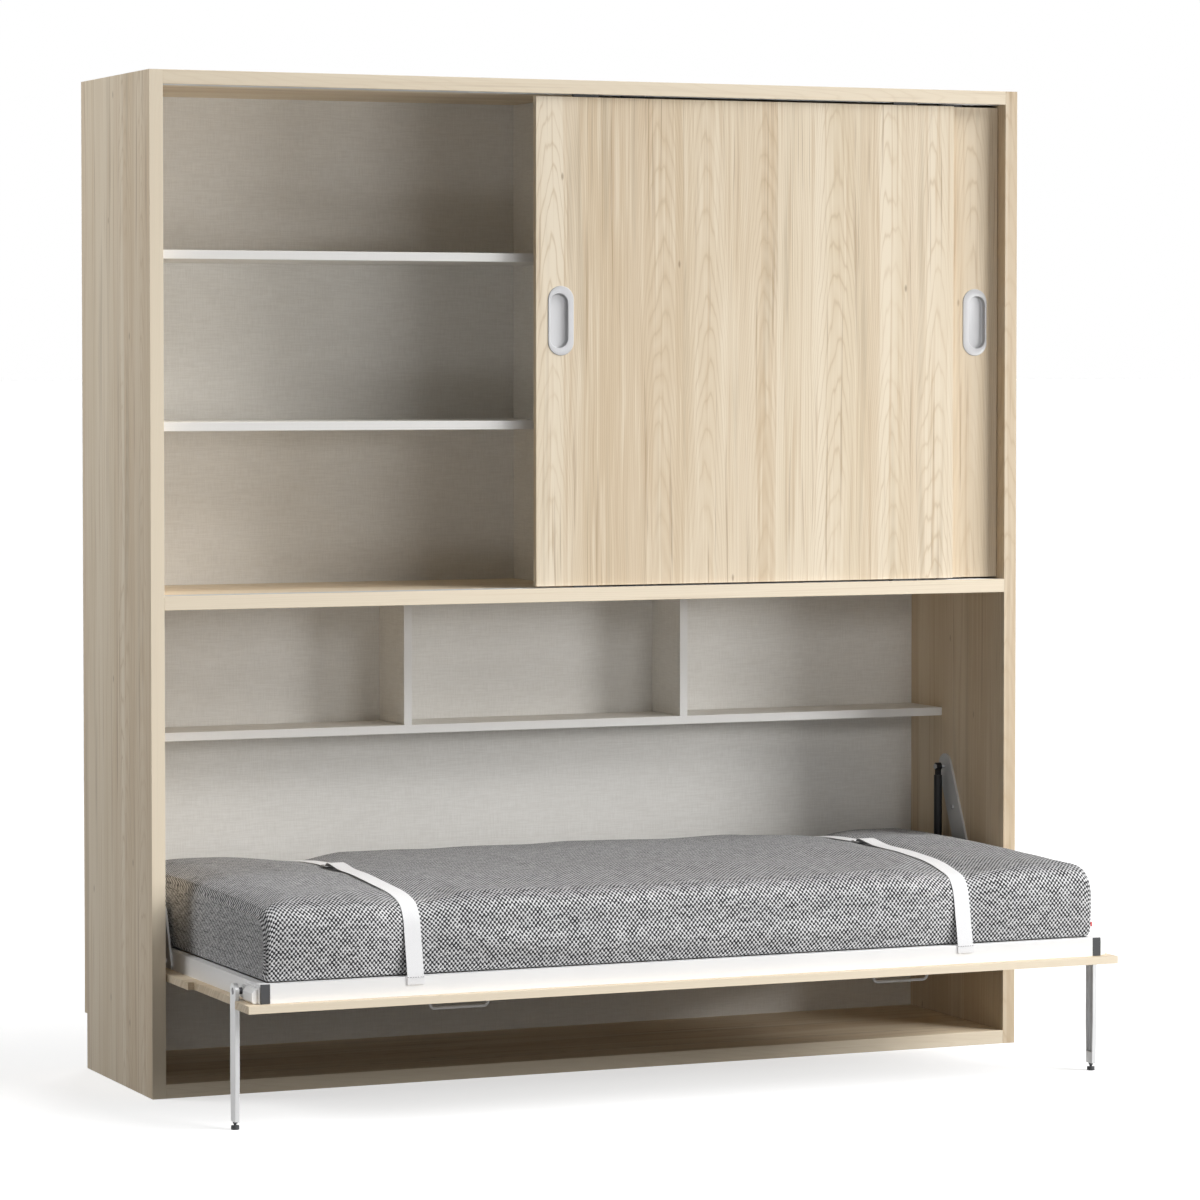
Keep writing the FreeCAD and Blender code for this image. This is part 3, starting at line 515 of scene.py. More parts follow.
# grain direction, pattern shift, how pale the front edge strip is (partly an edging band, partly painted
# highlight) and how much painted shade darkens the whole board
boards = {
    "left_side_panel": (2, 0.4, 0.85), "right_side_panel": (2, 1.25, 0.0, 0.36), "top_panel": (0, 2.6, 0.65),
    "middle_panel": (0, 3.9, 0.65), "bottom_panel": (0, 5.2, 0.65), "bed_panel": (0, 7.1, 0.85),
    "front_door": (2, 8.35), "rear_door": (2, 9.6, 0.0, 0.26),
}
for node, (along, shift, *tones) in boards.items():
    material = mapleMaterial("maple_" + node, along, shift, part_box(node)[0].y, *tones)
    softPiece(node, material, "maple", softSizes["boardEdge"])
for node in ("left_low_shelf", "left_high_shelf", "right_low_shelf", "right_high_shelf", "bridge_shelf",
             "bridge_dividers", "centre_divider"):
    material = linenMaterial("linen_" + node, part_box(node)[0].y, softSizes["shelfBandAndHighlight"])
    softPiece(node, material, "linen", softSizes["boardEdge"])

# finish, slot, width of the softened edge and the pieces
metalwork = [
    (whiteCoat, "white_steel", 0.0025, ["front_rail", "rear_rail", "left_rail", "right_rail"]),
    (whiteCoat, "white_steel", 0.0012, ["leg_brackets"]),
    (greyCoat, "grey_steel", 0.0006, ["left_side_plate", "right_side_plate", "left_lever", "right_lever"]),
    (legCoat, "leg_steel", 0.0012, ["left_leg", "right_leg"]),
    (darkPlastic, "dark_plastic", 0.0012, ["rail_caps", "left_foot", "right_foot"]),
    (blackCoat, "black_steel", 0.0012, ["left_strut_cylinder", "right_strut_cylinder"]),
    (rodChrome, "rod_chrome", 0.0005, ["left_strut_rod", "right_strut_rod"]),
    (darkSteel, "dark_steel", 0.0008, ["leg_axles"]),
    (bareSteel, "bare_steel", 0.0006, ["wall_brackets", "pivot_pins", "strut_pins"]),
    (trackAluminium, "track_aluminium", 0.0004, ["upper_door_track", "lower_door_track"]),
]
for material, slot, edge, names in metalwork:
    for node in names:
        softPiece(node, material, slot, edge)
plain = {
    "upper_back_panel": linenBack, "lower_back_panel": linenBack, "centre_rail": whiteCoat, "slats": slatWood,
    "slat_holders": darkPlastic, "pivot_bushes": nylon, "front_door_glides": darkNylon,
    "rear_door_glides": darkNylon,
}
for node, material in plain.items():
    paint(nodes[node].data, material)
print("rigid pieces finished")


# recessed pulls

pullSizes = {
    "rimWidth": 0.061, "rimHeight": 0.152, "rimRise": 0.0018, "rimEase": 0.9, "cupWidth": 0.042,
    "cupHeight": 0.118, "cupDepth": 0.0108, "cupShift": 0.00475, "lip": 0.0014, "floorRound": 0.0034,
    "wall": 0.0008, "turns": 28, "rimSteps": 4, "floorSteps": 6, "smooth": 50,
}


def slotRing(centre, y, width, height, inset):
    radius = width / 2 - inset
    straight = (height - width) / 2
    ring = []
    for side, first in ((1, 0.0), (-1, math.pi)):
        for turn in spaced(first, first + math.pi, pullSizes["turns"]):
            z = centre[1] + side * straight + radius * math.sin(turn)
            ring.append((centre[0] + radius * math.cos(turn), y, z))
    return ring


def recessedPull(name, node, body, way):
    s = pullSizes
    low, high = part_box(node)
    face = low.y + s["rimRise"]
    rim = (low.x + s["rimWidth"] / 2, (low.z + high.z) / 2)
    cup = (rim[0] + way * s["cupShift"], rim[1])
    rings = []
    for turn in spaced(0.0, math.pi / 2, s["rimSteps"]):  # rounded outer border
        inset = s["rimRise"] * s["rimEase"] * (1 - math.cos(turn))
        y = face - s["rimRise"] * math.sin(turn)
        rings.append(slotRing(rim, y, s["rimWidth"], s["rimHeight"], inset))
    for turn in spaced(0.0, math.pi / 2, s["rimSteps"]):  # lip rolled into the cup
        inset = s["lip"] * (math.sin(turn) - 1)
        y = face - s["rimRise"] + s["lip"] * (1 - math.cos(turn))
        rings.append(slotRing(cup, y, s["cupWidth"], s["cupHeight"], inset))
    for turn in spaced(0.0, math.pi / 2, s["floorSteps"]):  # wall rounded into the floor
        inset = s["floorRound"] * (1 - math.cos(turn))
        y = face + s["cupDepth"] - s["floorRound"] * (1 - math.sin(turn))
        rings.append(slotRing(cup, y, s["cupWidth"], s["cupHeight"], inset))
    points = [point for ring in rings for point in ring]
    count = len(rings[0])
    numbers = [range(level * count, (level + 1) * count) for level in range(len(rings))]
    faces = [quad for first, second in zip(numbers, numbers[1:]) for quad in closedBand(first, second)]
    faces.append(list(numbers[-1]))
    mesh = meshOf(name, points, faces)
    turnOutwards(mesh, Vector((0, -1, 0)))
    mesh = thickened(name, mesh, s["wall"], -1.0)
    newPiece(name, mesh, pullSatin, body, (node,), s["smooth"])


recessedPull("frontPull", "front_door_pull", "front_door_unit", -1)
recessedPull("rearPull", "rear_door_pull", "rear_door_unit", 1)
print("pulls made")


# geometry node trees, baked to plain meshes

def geometryTree(name, inputs):
    return newGroup(name, inputs, {"Geometry": "Geometry"}, "GeometryNodeTree")


def endTree(tree, made, given, out):
    real = addNode(tree, "GeometryNodeRealizeInstances", {0: made})
    feed(out[0], addNode(tree, "GeometryNodeSetMaterial", {"Geometry": real, "Material": given["Finish"]}))
    return tree


def bakeTree(name, tree, values, source=None):
    holder = addObject(name, source or bpy.data.meshes.new(name))
    modifier = addModifier(holder, "NODES", node_group=tree)
    for item in tree.interface.items_tree:
        if item.in_out == "INPUT" and item.name in values:
            modifier[item.identifier] = values[item.name]
    return finishedMesh(holder)


# hexagon screws, set on the spots where the CAD has them

screwSizes = {
    "chamfer": 0.86, "straight": 0.8, "shank": 0.5, "shankSides": 16, "shankSink": 0.49, "smooth": 30,
    "overFlats": 0.866, "rim": 0.9, "merge": 2e-5,
}


def screwTree():
    s = screwSizes
    tree, given, out = geometryTree(
        "hexScrews", {"Spots": "Geometry", "Chamfer": "Float", "Finish": "Material"})

    def attribute(name):
        return addNode(tree, "GeometryNodeInputNamedAttribute", {"Name": name}, data_type="FLOAT_VECTOR")

    def cylinder(sides, radius, tall):
        sizes = {"Vertices": sides, "Radius": radius, "Depth": tall}
        return addNode(tree, "GeometryNodeMeshCylinder", sizes).outputs

    def lifted(shape, height):
        return addNode(tree, "GeometryNodeTransform", {"Geometry": shape, "Translation": (0.0, 0.0, height)})

    upright = addNode(tree, "FunctionNodeAlignRotationToVector", {"Vector": attribute("way")}, axis="Z")
    turned = addNode(tree, "FunctionNodeAlignRotationToVector",
                     {"Rotation": upright, "Vector": attribute("corner")}, axis="X", pivot_axis="Z")
    block = cylinder(6, 1.0, s["straight"])
    raised = addNode(tree, "GeometryNodeExtrudeMesh", {"Mesh": block["Mesh"], "Selection": block["Top"],
                                                       "Offset Scale": 1 - s["straight"]}).outputs
    drawn = addNode(tree, "GeometryNodeScaleElements",
                    {"Geometry": raised["Mesh"], "Selection": raised["Top"], "Scale": given["Chamfer"]})
    head = lifted(drawn, s["straight"] / 2)
    shank = lifted(cylinder(s["shankSides"], s["shank"], 1.0)["Mesh"], -s["shankSink"])
    both = tree.nodes.new("GeometryNodeJoinGeometry")
    for shape, size in ((head, "headSize"), (shank, "shankSize")):
        placed = addNode(tree, "GeometryNodeInstanceOnPoints", {"Points": given["Spots"], "Instance": shape,
                                                                "Rotation": turned, "Scale": attribute(size)})
        feed(both.inputs[0], placed)
    return endTree(tree, both, given, out)


def looseParts(node):
    work = bmesh.new()
    work.from_mesh(nodes[node].data)
    bmesh.ops.remove_doubles(work, verts=work.verts, dist=screwSizes["merge"])
    seen = set()
    parts = []
    for first in work.verts:
        if first.index in seen:
            continue
        seen.add(first.index)
        queue = [first]
        part = []
        while queue:
            vert = queue.pop()
            part.append(vert.co.copy())
            for edge in vert.link_edges:
                other = edge.other_vert(vert)
                if other.index not in seen:
                    seen.add(other.index)
                    queue.append(other)
        parts.append(part)
    work.free()
    return parts


def screwSpot(part):
    low = Vector([min(point[k] for point in part) for k in range(3)])
    high = Vector([max(point[k] for point in part) for k in range(3)])
    size = high - low

    def unlikeHexagon(k):  # compares the width over the flats with that over the corners
        flats, corners = sorted((size[k - 1], size[k - 2]))
        return abs(flats / corners - screwSizes["overFlats"])

    axis = min(range(3), key=unlikeHexagon)
    others = [k for k in range(3) if k != axis]
    widest = max(others, key=lambda k: size[k])
    middle = (low + high) / 2
    radius = size[widest] / 2

    def fromAxis(point):
        return math.dist([point[k] for k in others], [middle[k] for k in others])

    rim = [point[axis] for point in part if fromAxis(point) > radius * screwSizes["rim"]]
    sign = 1 if sum(rim) / len(rim) > middle[axis] else -1
    base = min(rim) if sign > 0 else max(rim)
    tail = low[axis] if sign > 0 else high[axis]
    place = middle.copy()
    place[axis] = base
    way = Vector([sign if k == axis else 0 for k in range(3)])
    corner = Vector([1 if k == widest else 0 for k in range(3)])
    return place, {"way": way, "corner": corner, "headSize": Vector((radius, radius, max(rim) - min(rim))),
                   "shankSize": Vector((radius, radius, abs(base - tail)))}


def makeScrews(name, node, body, tree):
    spots = [screwSpot(part) for part in looseParts(node)]
    mesh = meshOf(name, [tuple(place) for place, _ in spots], [])
    for label in spots[0][1]:
        layer = mesh.attributes.new(label, "FLOAT_VECTOR", "POINT")
        for index, (_, values) in enumerate(spots):
            layer.data[index].vector = values[label]
    mesh = bakeTree(name, tree, {"Chamfer": screwSizes["chamfer"], "Finish": bareSteel}, mesh)
    newPiece(name, mesh, bareSteel, body, (node,), screwSizes["smooth"])


hexScrews = screwTree()
makeScrews("cabinetScrews", "cabinet_screws", "cabinet", hexScrews)
makeScrews("bedScrews", "bed_screws", "bed", hexScrews)
print("screws set")


# wire handles, swept along a filleted path

handleSizes = {
    "span": 0.128, "drop": 0.022, "wire": 0.003, "bend": 0.010, "bendSteps": 8, "sides": 16, "smooth": 50,
}


def handleTree():
    s = handleSizes
    tree, given, out = geometryTree("wireHandle", {"Route": "Geometry", "Wire Radius": "Float",
                                                   "Bend Radius": "Float", "Finish": "Material"})
    curve = addNode(tree, "GeometryNodeMeshToCurve", {0: given["Route"]})
    bend = {"Curve": curve, "Radius": given["Bend Radius"], "Count": s["bendSteps"], "Limit Radius": True}
    bent = addNode(tree, "GeometryNodeFilletCurve", bend, mode="POLY")
    ring = addNode(tree, "GeometryNodeCurvePrimitiveCircle",
                   {"Radius": given["Wire Radius"], "Resolution": s["sides"]})
    sweep = {"Curve": bent, "Profile Curve": ring, "Fill Caps": True}
    return endTree(tree, addNode(tree, "GeometryNodeCurveToMesh", sweep), given, out)


def makeHandle(name, node, tree):
    s = handleSizes
    low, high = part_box(node)
    middle = (low.x + high.x) / 2
    y = (low.y + high.y) / 2
    left = middle - s["span"] / 2
    right = middle + s["span"] / 2
    base = high.z - s["drop"]
    route = bpy.data.meshes.new("route")
    corners = [(left, y, high.z), (left, y, base), (right, y, base), (right, y, high.z)]
    route.from_pydata(corners, [(0, 1), (1, 2), (2, 3)], [])
    values = {"Wire Radius": s["wire"], "Bend Radius": s["bend"], "Finish": whiteCoat}
    mesh = bakeTree(name, tree, values, route)
    newPiece(name, mesh, whiteCoat, "bed", (node,), s["smooth"])


wireHandle = handleTree()
makeHandle("leftWireHandle", "left_handle", wireHandle)
makeHandle("rightWireHandle", "right_handle", wireHandle)
print("handles made")


# mattress

mattressSizes = {
    "half": 0.950, "front": -0.4815, "back": 0.4085, "low": 0.3043, "edge": 0.4640, "crown": 0.016,
    "endCrown": 0.35, "crownReach": 0.30, "topRound": 0.042, "lowRound": 0.012, "endRound": 0.034,
    "cornerRound": 0.008, "drawn": 0.006, "wave": 0.0075, "waveReach": 0.10, "lean": 0.0018,
    "wallReach": 0.02, "strapPlace": 0.632, "strapPress": 0.0035, "strapReach": 0.075, "edgePress": 0.014,
    "edgeReach": 0.085, "backFall": 0.012, "fallFrom": 0.10, "fallReach": 0.30, "heldLow": 0.012,
    "heldEnd": 0.010, "heldStrap": 0.022, "swellFrames": 14, "swellLimit": 0.0045, "fill": 0.9,
    "edgeInward": 0.7, "drawnShare": 0.8, "strapInward": 0.7, "leanAlong": 6.0, "leanUp": 9.0,
    "leanLayer": 1.7,
}
mattressRows = {
    "floor": 26, "lowTurn": 5, "wall": 9, "topTurn": 7, "top": 44, "length": 116, "lengthFrom": 0.048,
}
endSteps = [0.0, 0.0015, 0.004, 0.008, 0.013, 0.019, 0.026, 0.034]
endShares = (0.88, 0.7, 0.45, 0.2)
swells = [(4.3, 5.0, 3.1, 0.65), (9.5, 10.5, 8.4, 0.35)]  # rates along and across, layer and share
clothSettings = {
    "use_pressure": True, "uniform_pressure_force": 3.0, "quality": 4, "tension_stiffness": 25,
    "compression_stiffness": 25, "shear_stiffness": 12, "vertex_group_mass": "held",
}


def roundIn(distance, radius):
    if distance >= radius:
        return 0.0
    return radius - math.sqrt(max(0.0, radius * radius - (radius - distance) ** 2))


def arc(y, z, radius, quarter, count):  # a quarter turn, without the point that starts the next run
    turns = spaced(quarter * math.pi / 2, (quarter + 1) * math.pi / 2, count)[:-1]
    return [(y + radius * math.cos(turn), z + radius * math.sin(turn)) for turn in turns]


def mattressSection(inset, topDrop, lowRise, crownShare):
    s = mattressSizes
    rows = mattressRows
    top = s["topRound"]
    low = s["lowRound"]
    y0 = s["front"] + inset
    y1 = s["back"] - inset
    z0 = s["low"] + lowRise
    z1 = s["edge"] - topDrop
    middle = (y0 + y1) / 2
    span = (y1 - y0) / 2 - top
    ring = [(y, z0) for y in spaced(y0 + low, y1 - low, rows["floor"])[:-1]]
    ring += arc(y1 - low, z0 + low, low, -1, rows["lowTurn"])
    ring += [(y1, z) for z in spaced(z0 + low, z1 - top, rows["wall"])[:-1]]
    ring += arc(y1 - top, z1 - top, top, 0, rows["topTurn"])
    for y in spaced(y1 - top, y0 + top, rows["top"])[:-1]:
        share = (y - middle) / span
        ring.append((y, z1 + s["crown"] * crownShare * (1 - share * share)))
    ring += arc(y0 + top, z1 - top, top, 1, rows["topTurn"])
    ring += [(y0, z) for z in spaced(z1 - top, z0 + low, rows["wall"])[:-1]]
    ring += arc(y0 + low, z0 + low, low, 2, rows["lowTurn"])
    return ring


def mattressMesh():
    s = mattressSizes
    inner = s["half"] - mattressRows["lengthFrom"]
    stations = [s["half"] - step for step in endSteps] + spaced(inner, -inner, mattressRows["length"])
    stations += [step - s["half"] for step in reversed(endSteps)]
    whole = mattressSection(0.0, 0.0, 0.0, 1.0)
    runs = runsOf(whole + whole[:1])
    count = len(whole)
    points = []
    for x in stations:
        depth = s["half"] - abs(x)
        crownShare = min(1.0, s["endCrown"] + depth / s["crownReach"])
        ring = mattressSection(roundIn(depth, s["cornerRound"]), roundIn(depth, s["endRound"]),
                               roundIn(depth, s["lowRound"]), crownShare)
        points += [Vector((x, y, z)) for y, z in ring]
    rings = [range(row * count, (row + 1) * count) for row in range(len(stations))]
    faces = []
    corners = []
    for first, second, x0, x1 in zip(rings, rings[1:], stations, stations[1:]):
        for index in range(count):
            after = (index + 1) % count
            v0 = runs[index]
            v1 = runs[index + 1]
            faces.append((first[index], first[after], second[after], second[index]))
            corners.append([(x0, v0), (x0, v1), (x1, v1), (x1, v0)])
    # end faces, in rings drawn towards the middle and closed by a fan
    for ring, way in ((rings[0], 1), (rings[-1], -1)):
        last = ring
        heart = sum((points[vert] for vert in ring), Vector()) / count
        bulge = way * s["drawn"] / 2
        for share in endShares:
            fresh = range(len(points), len(points) + count)
            for vert in ring:
                place = heart + (points[vert] - heart) * share
                points.append(Vector((points[vert].x + bulge * (1 - share) ** 0.5, place.y, place.z)))
            faces += closedBand(last, fresh)
            last = fresh
        points.append(Vector((points[ring[0]].x + bulge, heart.y, heart.z)))
        faces += [(last[index], len(points) - 1, last[(index + 1) % count]) for index in range(count)]
        for face in faces[len(corners):]:
            corners.append([(points[vert].y * way, points[vert].z) for vert in face])
    return points, faces, corners


def shapeMattress(points):
    s = mattressSizes
    middle = (s["low"] + s["edge"]) / 2
    tall = (s["edge"] - s["low"]) / 2
    for point in points:
        up = max(0.0, min(1.0, (point.z - middle) / tall))
        side = 1 - min(1.0, abs(point.z - middle) / tall) ** 2
        away = min(1.0, (s["half"] - abs(point.x)) / s["waveReach"])
        # soft swells on the top, sides drawn in at their upper and lower edges
        swell = sum(noise.noise(Vector((point.x * along, point.y * across, layer))) * share
                    for along, across, layer, share in swells)
        point.z += s["wave"] * swell * up * away
        press = math.exp(-((abs(point.x) - s["strapPlace"]) / s["strapReach"]) ** 2)
        point.z -= s["strapPress"] * press * up
        for edge, way in ((s["front"], 1), (s["back"], -1)):
            near = math.exp(-(math.dist((point.y, point.z), (edge, s["edge"])) / s["edgeReach"]) ** 2)
            point.y += way * s["edgePress"] * s["edgeInward"] * near * press
            point.z -= s["edgePress"] * near * press
        fall = max(0.0, min(1.0, (point.y - s["fallFrom"]) / s["fallReach"]))
        point.z -= s["backFall"] * press * up * fall ** 2
        drawn = s["drawn"] * (1 - side) * s["drawnShare"] + s["strapPress"] * press * s["strapInward"]
        if point.y < s["front"] + s["wallReach"]:
            place = Vector((point.x * s["leanAlong"], point.z * s["leanUp"], s["leanLayer"]))
            lean = noise.noise(place)
            point.y += drawn + s["lean"] * lean * side
        if point.y > s["back"] - s["wallReach"]:
            point.y -= drawn


def inflate(piece, frames, limit):
    start = [vert.co.copy() for vert in piece.data.vertices]
    cloth = addModifier(piece, "CLOTH")
    for key, value in clothSettings.items():
        setattr(cloth.settings, key, value)
    cloth.settings.effector_weights.gravity = 0.0
    cloth.collision_settings.use_collision = False
    for number in range(1, frames + 1):
        scene.frame_set(number)
    graph = bpy.context.evaluated_depsgraph_get()
    swollen = [vert.co.copy() for vert in piece.evaluated_get(graph).data.vertices]
    piece.modifiers.remove(cloth)
    scene.frame_set(1)
    for vert, old, new in zip(piece.data.vertices, start, swollen):
        step = new - old
        if step.length > limit:
            step *= limit / step.length
        vert.co = old + step


def makeMattress():
    s = mattressSizes
    points, faces, corners = mattressMesh()
    shapeMattress(points)
    mesh = meshOf("mattressPad", [tuple(point) for point in points], faces)
    layer = mesh.uv_layers.new(name="cloth")
    for index, place in enumerate(place for corner in corners for place in corner):
        layer.data[index].uv = place
    turnOutwards(mesh)
    piece = addObject("mattressPad", mesh)
    held = piece.vertex_groups.new(name="held")
    for vert in mesh.vertices:
        nearLow = vert.co.z < s["low"] + s["heldLow"]
        nearEnd = s["half"] - abs(vert.co.x) < s["heldEnd"]
        underStrap = abs(abs(vert.co.x) - s["strapPlace"]) < s["heldStrap"]
        if nearLow or nearEnd or underStrap:
            held.add([vert.index], 1.0, "REPLACE")
    inflate(piece, s["swellFrames"], s["swellLimit"])
    piece.vertex_groups.clear()
    addModifier(piece, "SUBSURF", levels=1, render_levels=1)
    mesh = finishedMesh(piece)
    mesh.shade_smooth()
    pad = newPiece("mattressPad", mesh, mattressWeave, "bed", ("mattress",))
    return pad


mattressPad = makeMattress()
print("mattress made:", len(mattressPad.data.polygons), "faces")


# straps with sewn cuffs and three-bar buckles

strapSizes = {
    "width": 0.036, "lift": 0.0009, "thick": 0.0012, "railFront": -0.4915, "railBack": 0.4085, "hem": 0.287,
    "railTop": 0.304, "heartY": -0.0365, "heartZ": 0.37, "outside": 1.2, "rays": 220, "step": 0.004,
    "easings": 6, "columns": 5, "smooth": 50, "allSmooth": 180, "upperSide": 0.42,
    "cuffWidth": 0.043, "cuffThick": 0.0024, "cuffLift": 0.6, "stitch": (0.0036, 0.0009, 0.0012),
    "stitchGap": 0.0056, "stitchDrop": 0.0016, "bar": 0.0023, "barSides": 10, "middleBar": 0.9,
    "buckleY": -0.0115, "buckleWide": 0.047, "buckleLong": 0.027, "buckleBend": 0.004, "buckleStep": 0.006,
    "rise": 0.0085, "riseLength": 0.055, "riseRamp": 0.018, "fromAngle": -20, "toAngle": 200,
    "railDip": 0.001, "tiny": 1e-9, "bendSteps": 4,
}
cuffRows = (-0.0005, 0.006, 0.012, 0.0175)  # heights above the hem
bandShares = (-0.55, -0.25, 0.0, 0.25, 0.55)  # where the rays meet the cloth, across the band


def strapLine(surface, x):
    s = strapSizes
    outline = []
    for share in bandShares:  # taut over the highest cloth in the band's width
        middle = Vector((x + share * s["width"], s["heartY"], s["heartZ"]))
        for turn in spaced(math.radians(s["fromAngle"]), math.radians(s["toAngle"]), s["rays"]):
            way = Vector((0, math.cos(turn), math.sin(turn)))
            hit = surface.ray_cast(middle + way * s["outside"], -way)[0]
            if hit:
                outline.append((round(hit.y, 5), round(hit.z, 5)))
    for rail in (s["railFront"], s["railBack"]):
        outline += [(rail, s["hem"]), (rail, s["railTop"] - s["railDip"])]
    outline = sorted(set(outline))
    ring = [outline[index] for index in convex_hull_2d(outline)]
    start = ring.index((s["railFront"], s["hem"]))
    ring = ring[start:] + ring[:start]
    if ring[1][0] > 0:
        ring = [ring[0]] + ring[:0:-1]
    ring = ring[:ring.index((s["railBack"], s["hem"])) + 1]
    # evenly spaced points along the taut line, then eased
    runs = runsOf(ring)
    line = []
    for place in spaced(0.0, runs[-1], round(runs[-1] / s["step"])):
        index = min(len(ring) - 2, max(i for i, run in enumerate(runs) if run <= place + s["tiny"]))
        share = min(1.0, (place - runs[index]) / max(s["tiny"], runs[index + 1] - runs[index]))
        line.append(tuple(ring[index][k] + (ring[index + 1][k] - ring[index][k]) * share for k in (0, 1)))
    for _ in range(s["easings"]):
        inner = [tuple(line[i][k] * 0.5 + (line[i - 1][k] + line[i + 1][k]) * 0.25 for k in (0, 1))
                 for i in range(1, len(line) - 1)]
        line = [line[0]] + inner + [line[-1]]
    return line


def outwards(line, index):
    a = line[max(0, index - 1)]
    b = line[min(len(line) - 1, index + 1)]
    along = Vector((0, b[0] - a[0], b[1] - a[1])).normalized()
    return Vector((0, -along.z, along.y))


def ribbon(name, x, line, width, thick, liftAt):
    columns = strapSizes["columns"]
    points = []
    places = []
    for index, ((y, z), run) in enumerate(zip(line, runsOf(line))):
        base = Vector((0, y, z)) + outwards(line, index) * liftAt(y, z)
        for across in spaced(-width / 2, width / 2, columns - 1):
            points.append((x + across, base.y, base.z))
            places.append((across, run))
    faces = gridFaces(len(line), columns)
    mesh = meshOf(name, points, faces)
    layer = mesh.uv_layers.new(name="web")
    for loop in mesh.loops:
        layer.data[loop.index].uv = places[loop.vertex_index]
    return thickened(name, mesh, thick, 1.0 if mesh.polygons[len(faces) // 2].normal.z > 0 else -1.0)


def stitchTree():
    tree, given, out = geometryTree("stitchRow", {"Start": "Vector", "Step": "Vector", "Count": "Int",
                                                  "Size": "Vector", "Finish": "Material"})
    row = addNode(tree, "GeometryNodeMeshLine",
                  {"Count": given["Count"], "Start Location": given["Start"], "Offset": given["Step"]})
    bead = addNode(tree, "GeometryNodeMeshUVSphere", {"Segments": 8, "Rings": 5, "Radius": 0.5})
    beads = addNode(tree, "GeometryNodeInstanceOnPoints",
                    {"Points": row, "Instance": bead, "Scale": given["Size"]})
    return endTree(tree, beads, given, out)


def tubeAlong(path, radius, sides, closed):
    points = []
    rings = []
    count = len(path)
    for index, place in enumerate(path):
        before = path[index - 1] if closed or index else place
        after = path[(index + 1) % count] if closed or index < count - 1 else place
        along = (after - before).normalized()
        side = along.cross(Vector((0, 0, 1))).normalized()
        up = side.cross(along)
        rings.append(range(index * sides, (index + 1) * sides))
        for turn in spaced(0, 2 * math.pi, sides)[:-1]:
            points.append(place + side * (radius * math.cos(turn)) + up * (radius * math.sin(turn)))
    following = rings[1:] + rings[:1] if closed else rings[1:]
    faces = [quad for first, second in zip(rings, following) for quad in closedBand(first, second)]
    if not closed:
        faces += [list(rings[0]), list(rings[-1])[::-1]]
    return points, faces


def buckleMesh(name, place, along, out):
    s = strapSizes
    wide = s["buckleWide"] / 2
    long = s["buckleLong"] / 2
    bend = s["buckleBend"]
    loop = []
    for sideX, sideY, first in ((1, 1, 0), (-1, 1, 90), (-1, -1, 180), (1, -1, 270)):
        for angle in spaced(first, first + 90, s["bendSteps"]):
            turn = math.radians(angle)
            loop.append(Vector((sideX * (wide - bend) + bend * math.cos(turn),
                                sideY * (long - bend) + bend * math.sin(turn), 0)))
    points, faces = tubeAlong(loop, s["bar"], s["barSides"], True)
    middle = [Vector((-wide, 0, 0)), Vector((0, 0, 0)), Vector((wide, 0, 0))]
    bar, more = tubeAlong(middle, s["bar"] * s["middleBar"], s["barSides"], False)
    faces += [[vert + len(points) for vert in face] for face in more]
    turn = Matrix((Vector((1, 0, 0)), along, out)).transposed()
    mesh = meshOf(name, [tuple(turn @ point + place) for point in points + bar], faces)
    turnOutwards(mesh)
    return mesh


def joinedMesh(name, meshes):
    work = bmesh.new()
    for mesh in meshes:
        work.from_mesh(mesh)
    made = bpy.data.meshes.new(name)
    work.to_mesh(made)
    work.free()
    return made


def bandLift(y, z):  # the front end of the band is doubled back over the buckle's middle bar
    s = strapSizes
    step = y - s["buckleY"]
    if z < s["upperSide"] or step > s["riseRamp"]:
        return s["lift"]
    if step > 0:
        share = 1 - step / s["riseRamp"]
        return s["lift"] + s["rise"] * share * share * (3 - 2 * share)
    return s["lift"] + s["rise"] * math.exp(-(step / s["riseLength"]) ** 2)


def makeStrap(side, x, surface, stitches):
    s = strapSizes
    line = strapLine(surface, x)
    mesh = ribbon("strap" + side, x, line, s["width"], s["thick"], bandLift)
    replaced = (side.lower() + "_strap",)
    band = newPiece("strap" + side, mesh, strapWebbing, "bed", replaced, s["smooth"])
    cuffs = []
    rows = []
    count = int(s["cuffWidth"] / s["stitchGap"])
    cuffLift = s["lift"] * s["cuffLift"]
    for y, way in ((s["railFront"], -1), (s["railBack"], 1)):
        ends = [(y, s["hem"] + row) for row in cuffRows][::-way]
        cuffs.append(ribbon("cuff", x, ends, s["cuffWidth"], s["cuffThick"], lambda *_: cuffLift))
        start = (x - s["stitchGap"] * (count - 1) / 2, y + way * (s["cuffThick"] + s["lift"]),
                 s["railTop"] - s["stitchDrop"])
        values = {"Start": start, "Step": (s["stitchGap"], 0.0, 0.0), "Count": count, "Size": s["stitch"],
                  "Finish": stitchThread}
        rows.append(bakeTree("row", stitches, values))
    for name, meshes, material, smooth in (("strapCuffs" + side, cuffs, strapWebbing, s["smooth"]),
                                           ("strapStitches" + side, rows, stitchThread, s["allSmooth"])):
        newPiece(name, joinedMesh(name, meshes), material, "bed", (), smooth)

    def fromBuckle(i):
        return abs(line[i][0] - s["buckleY"]) + (1 if line[i][1] < s["upperSide"] else 0)

    index = min(range(len(line)), key=fromBuckle)
    out = outwards(line, index)
    if out.z < 0:
        out = -out
    along = out.cross(Vector((1, 0, 0)))
    place = Vector((x, *line[index])) + along * s["buckleStep"] + out * (s["lift"] + s["bar"])
    buckle = buckleMesh("buckle" + side, place, along, out)
    replaced = (side.lower() + "_buckle",)
    newPiece("buckle" + side, buckle, buckleNickel, "bed", replaced, s["smooth"])


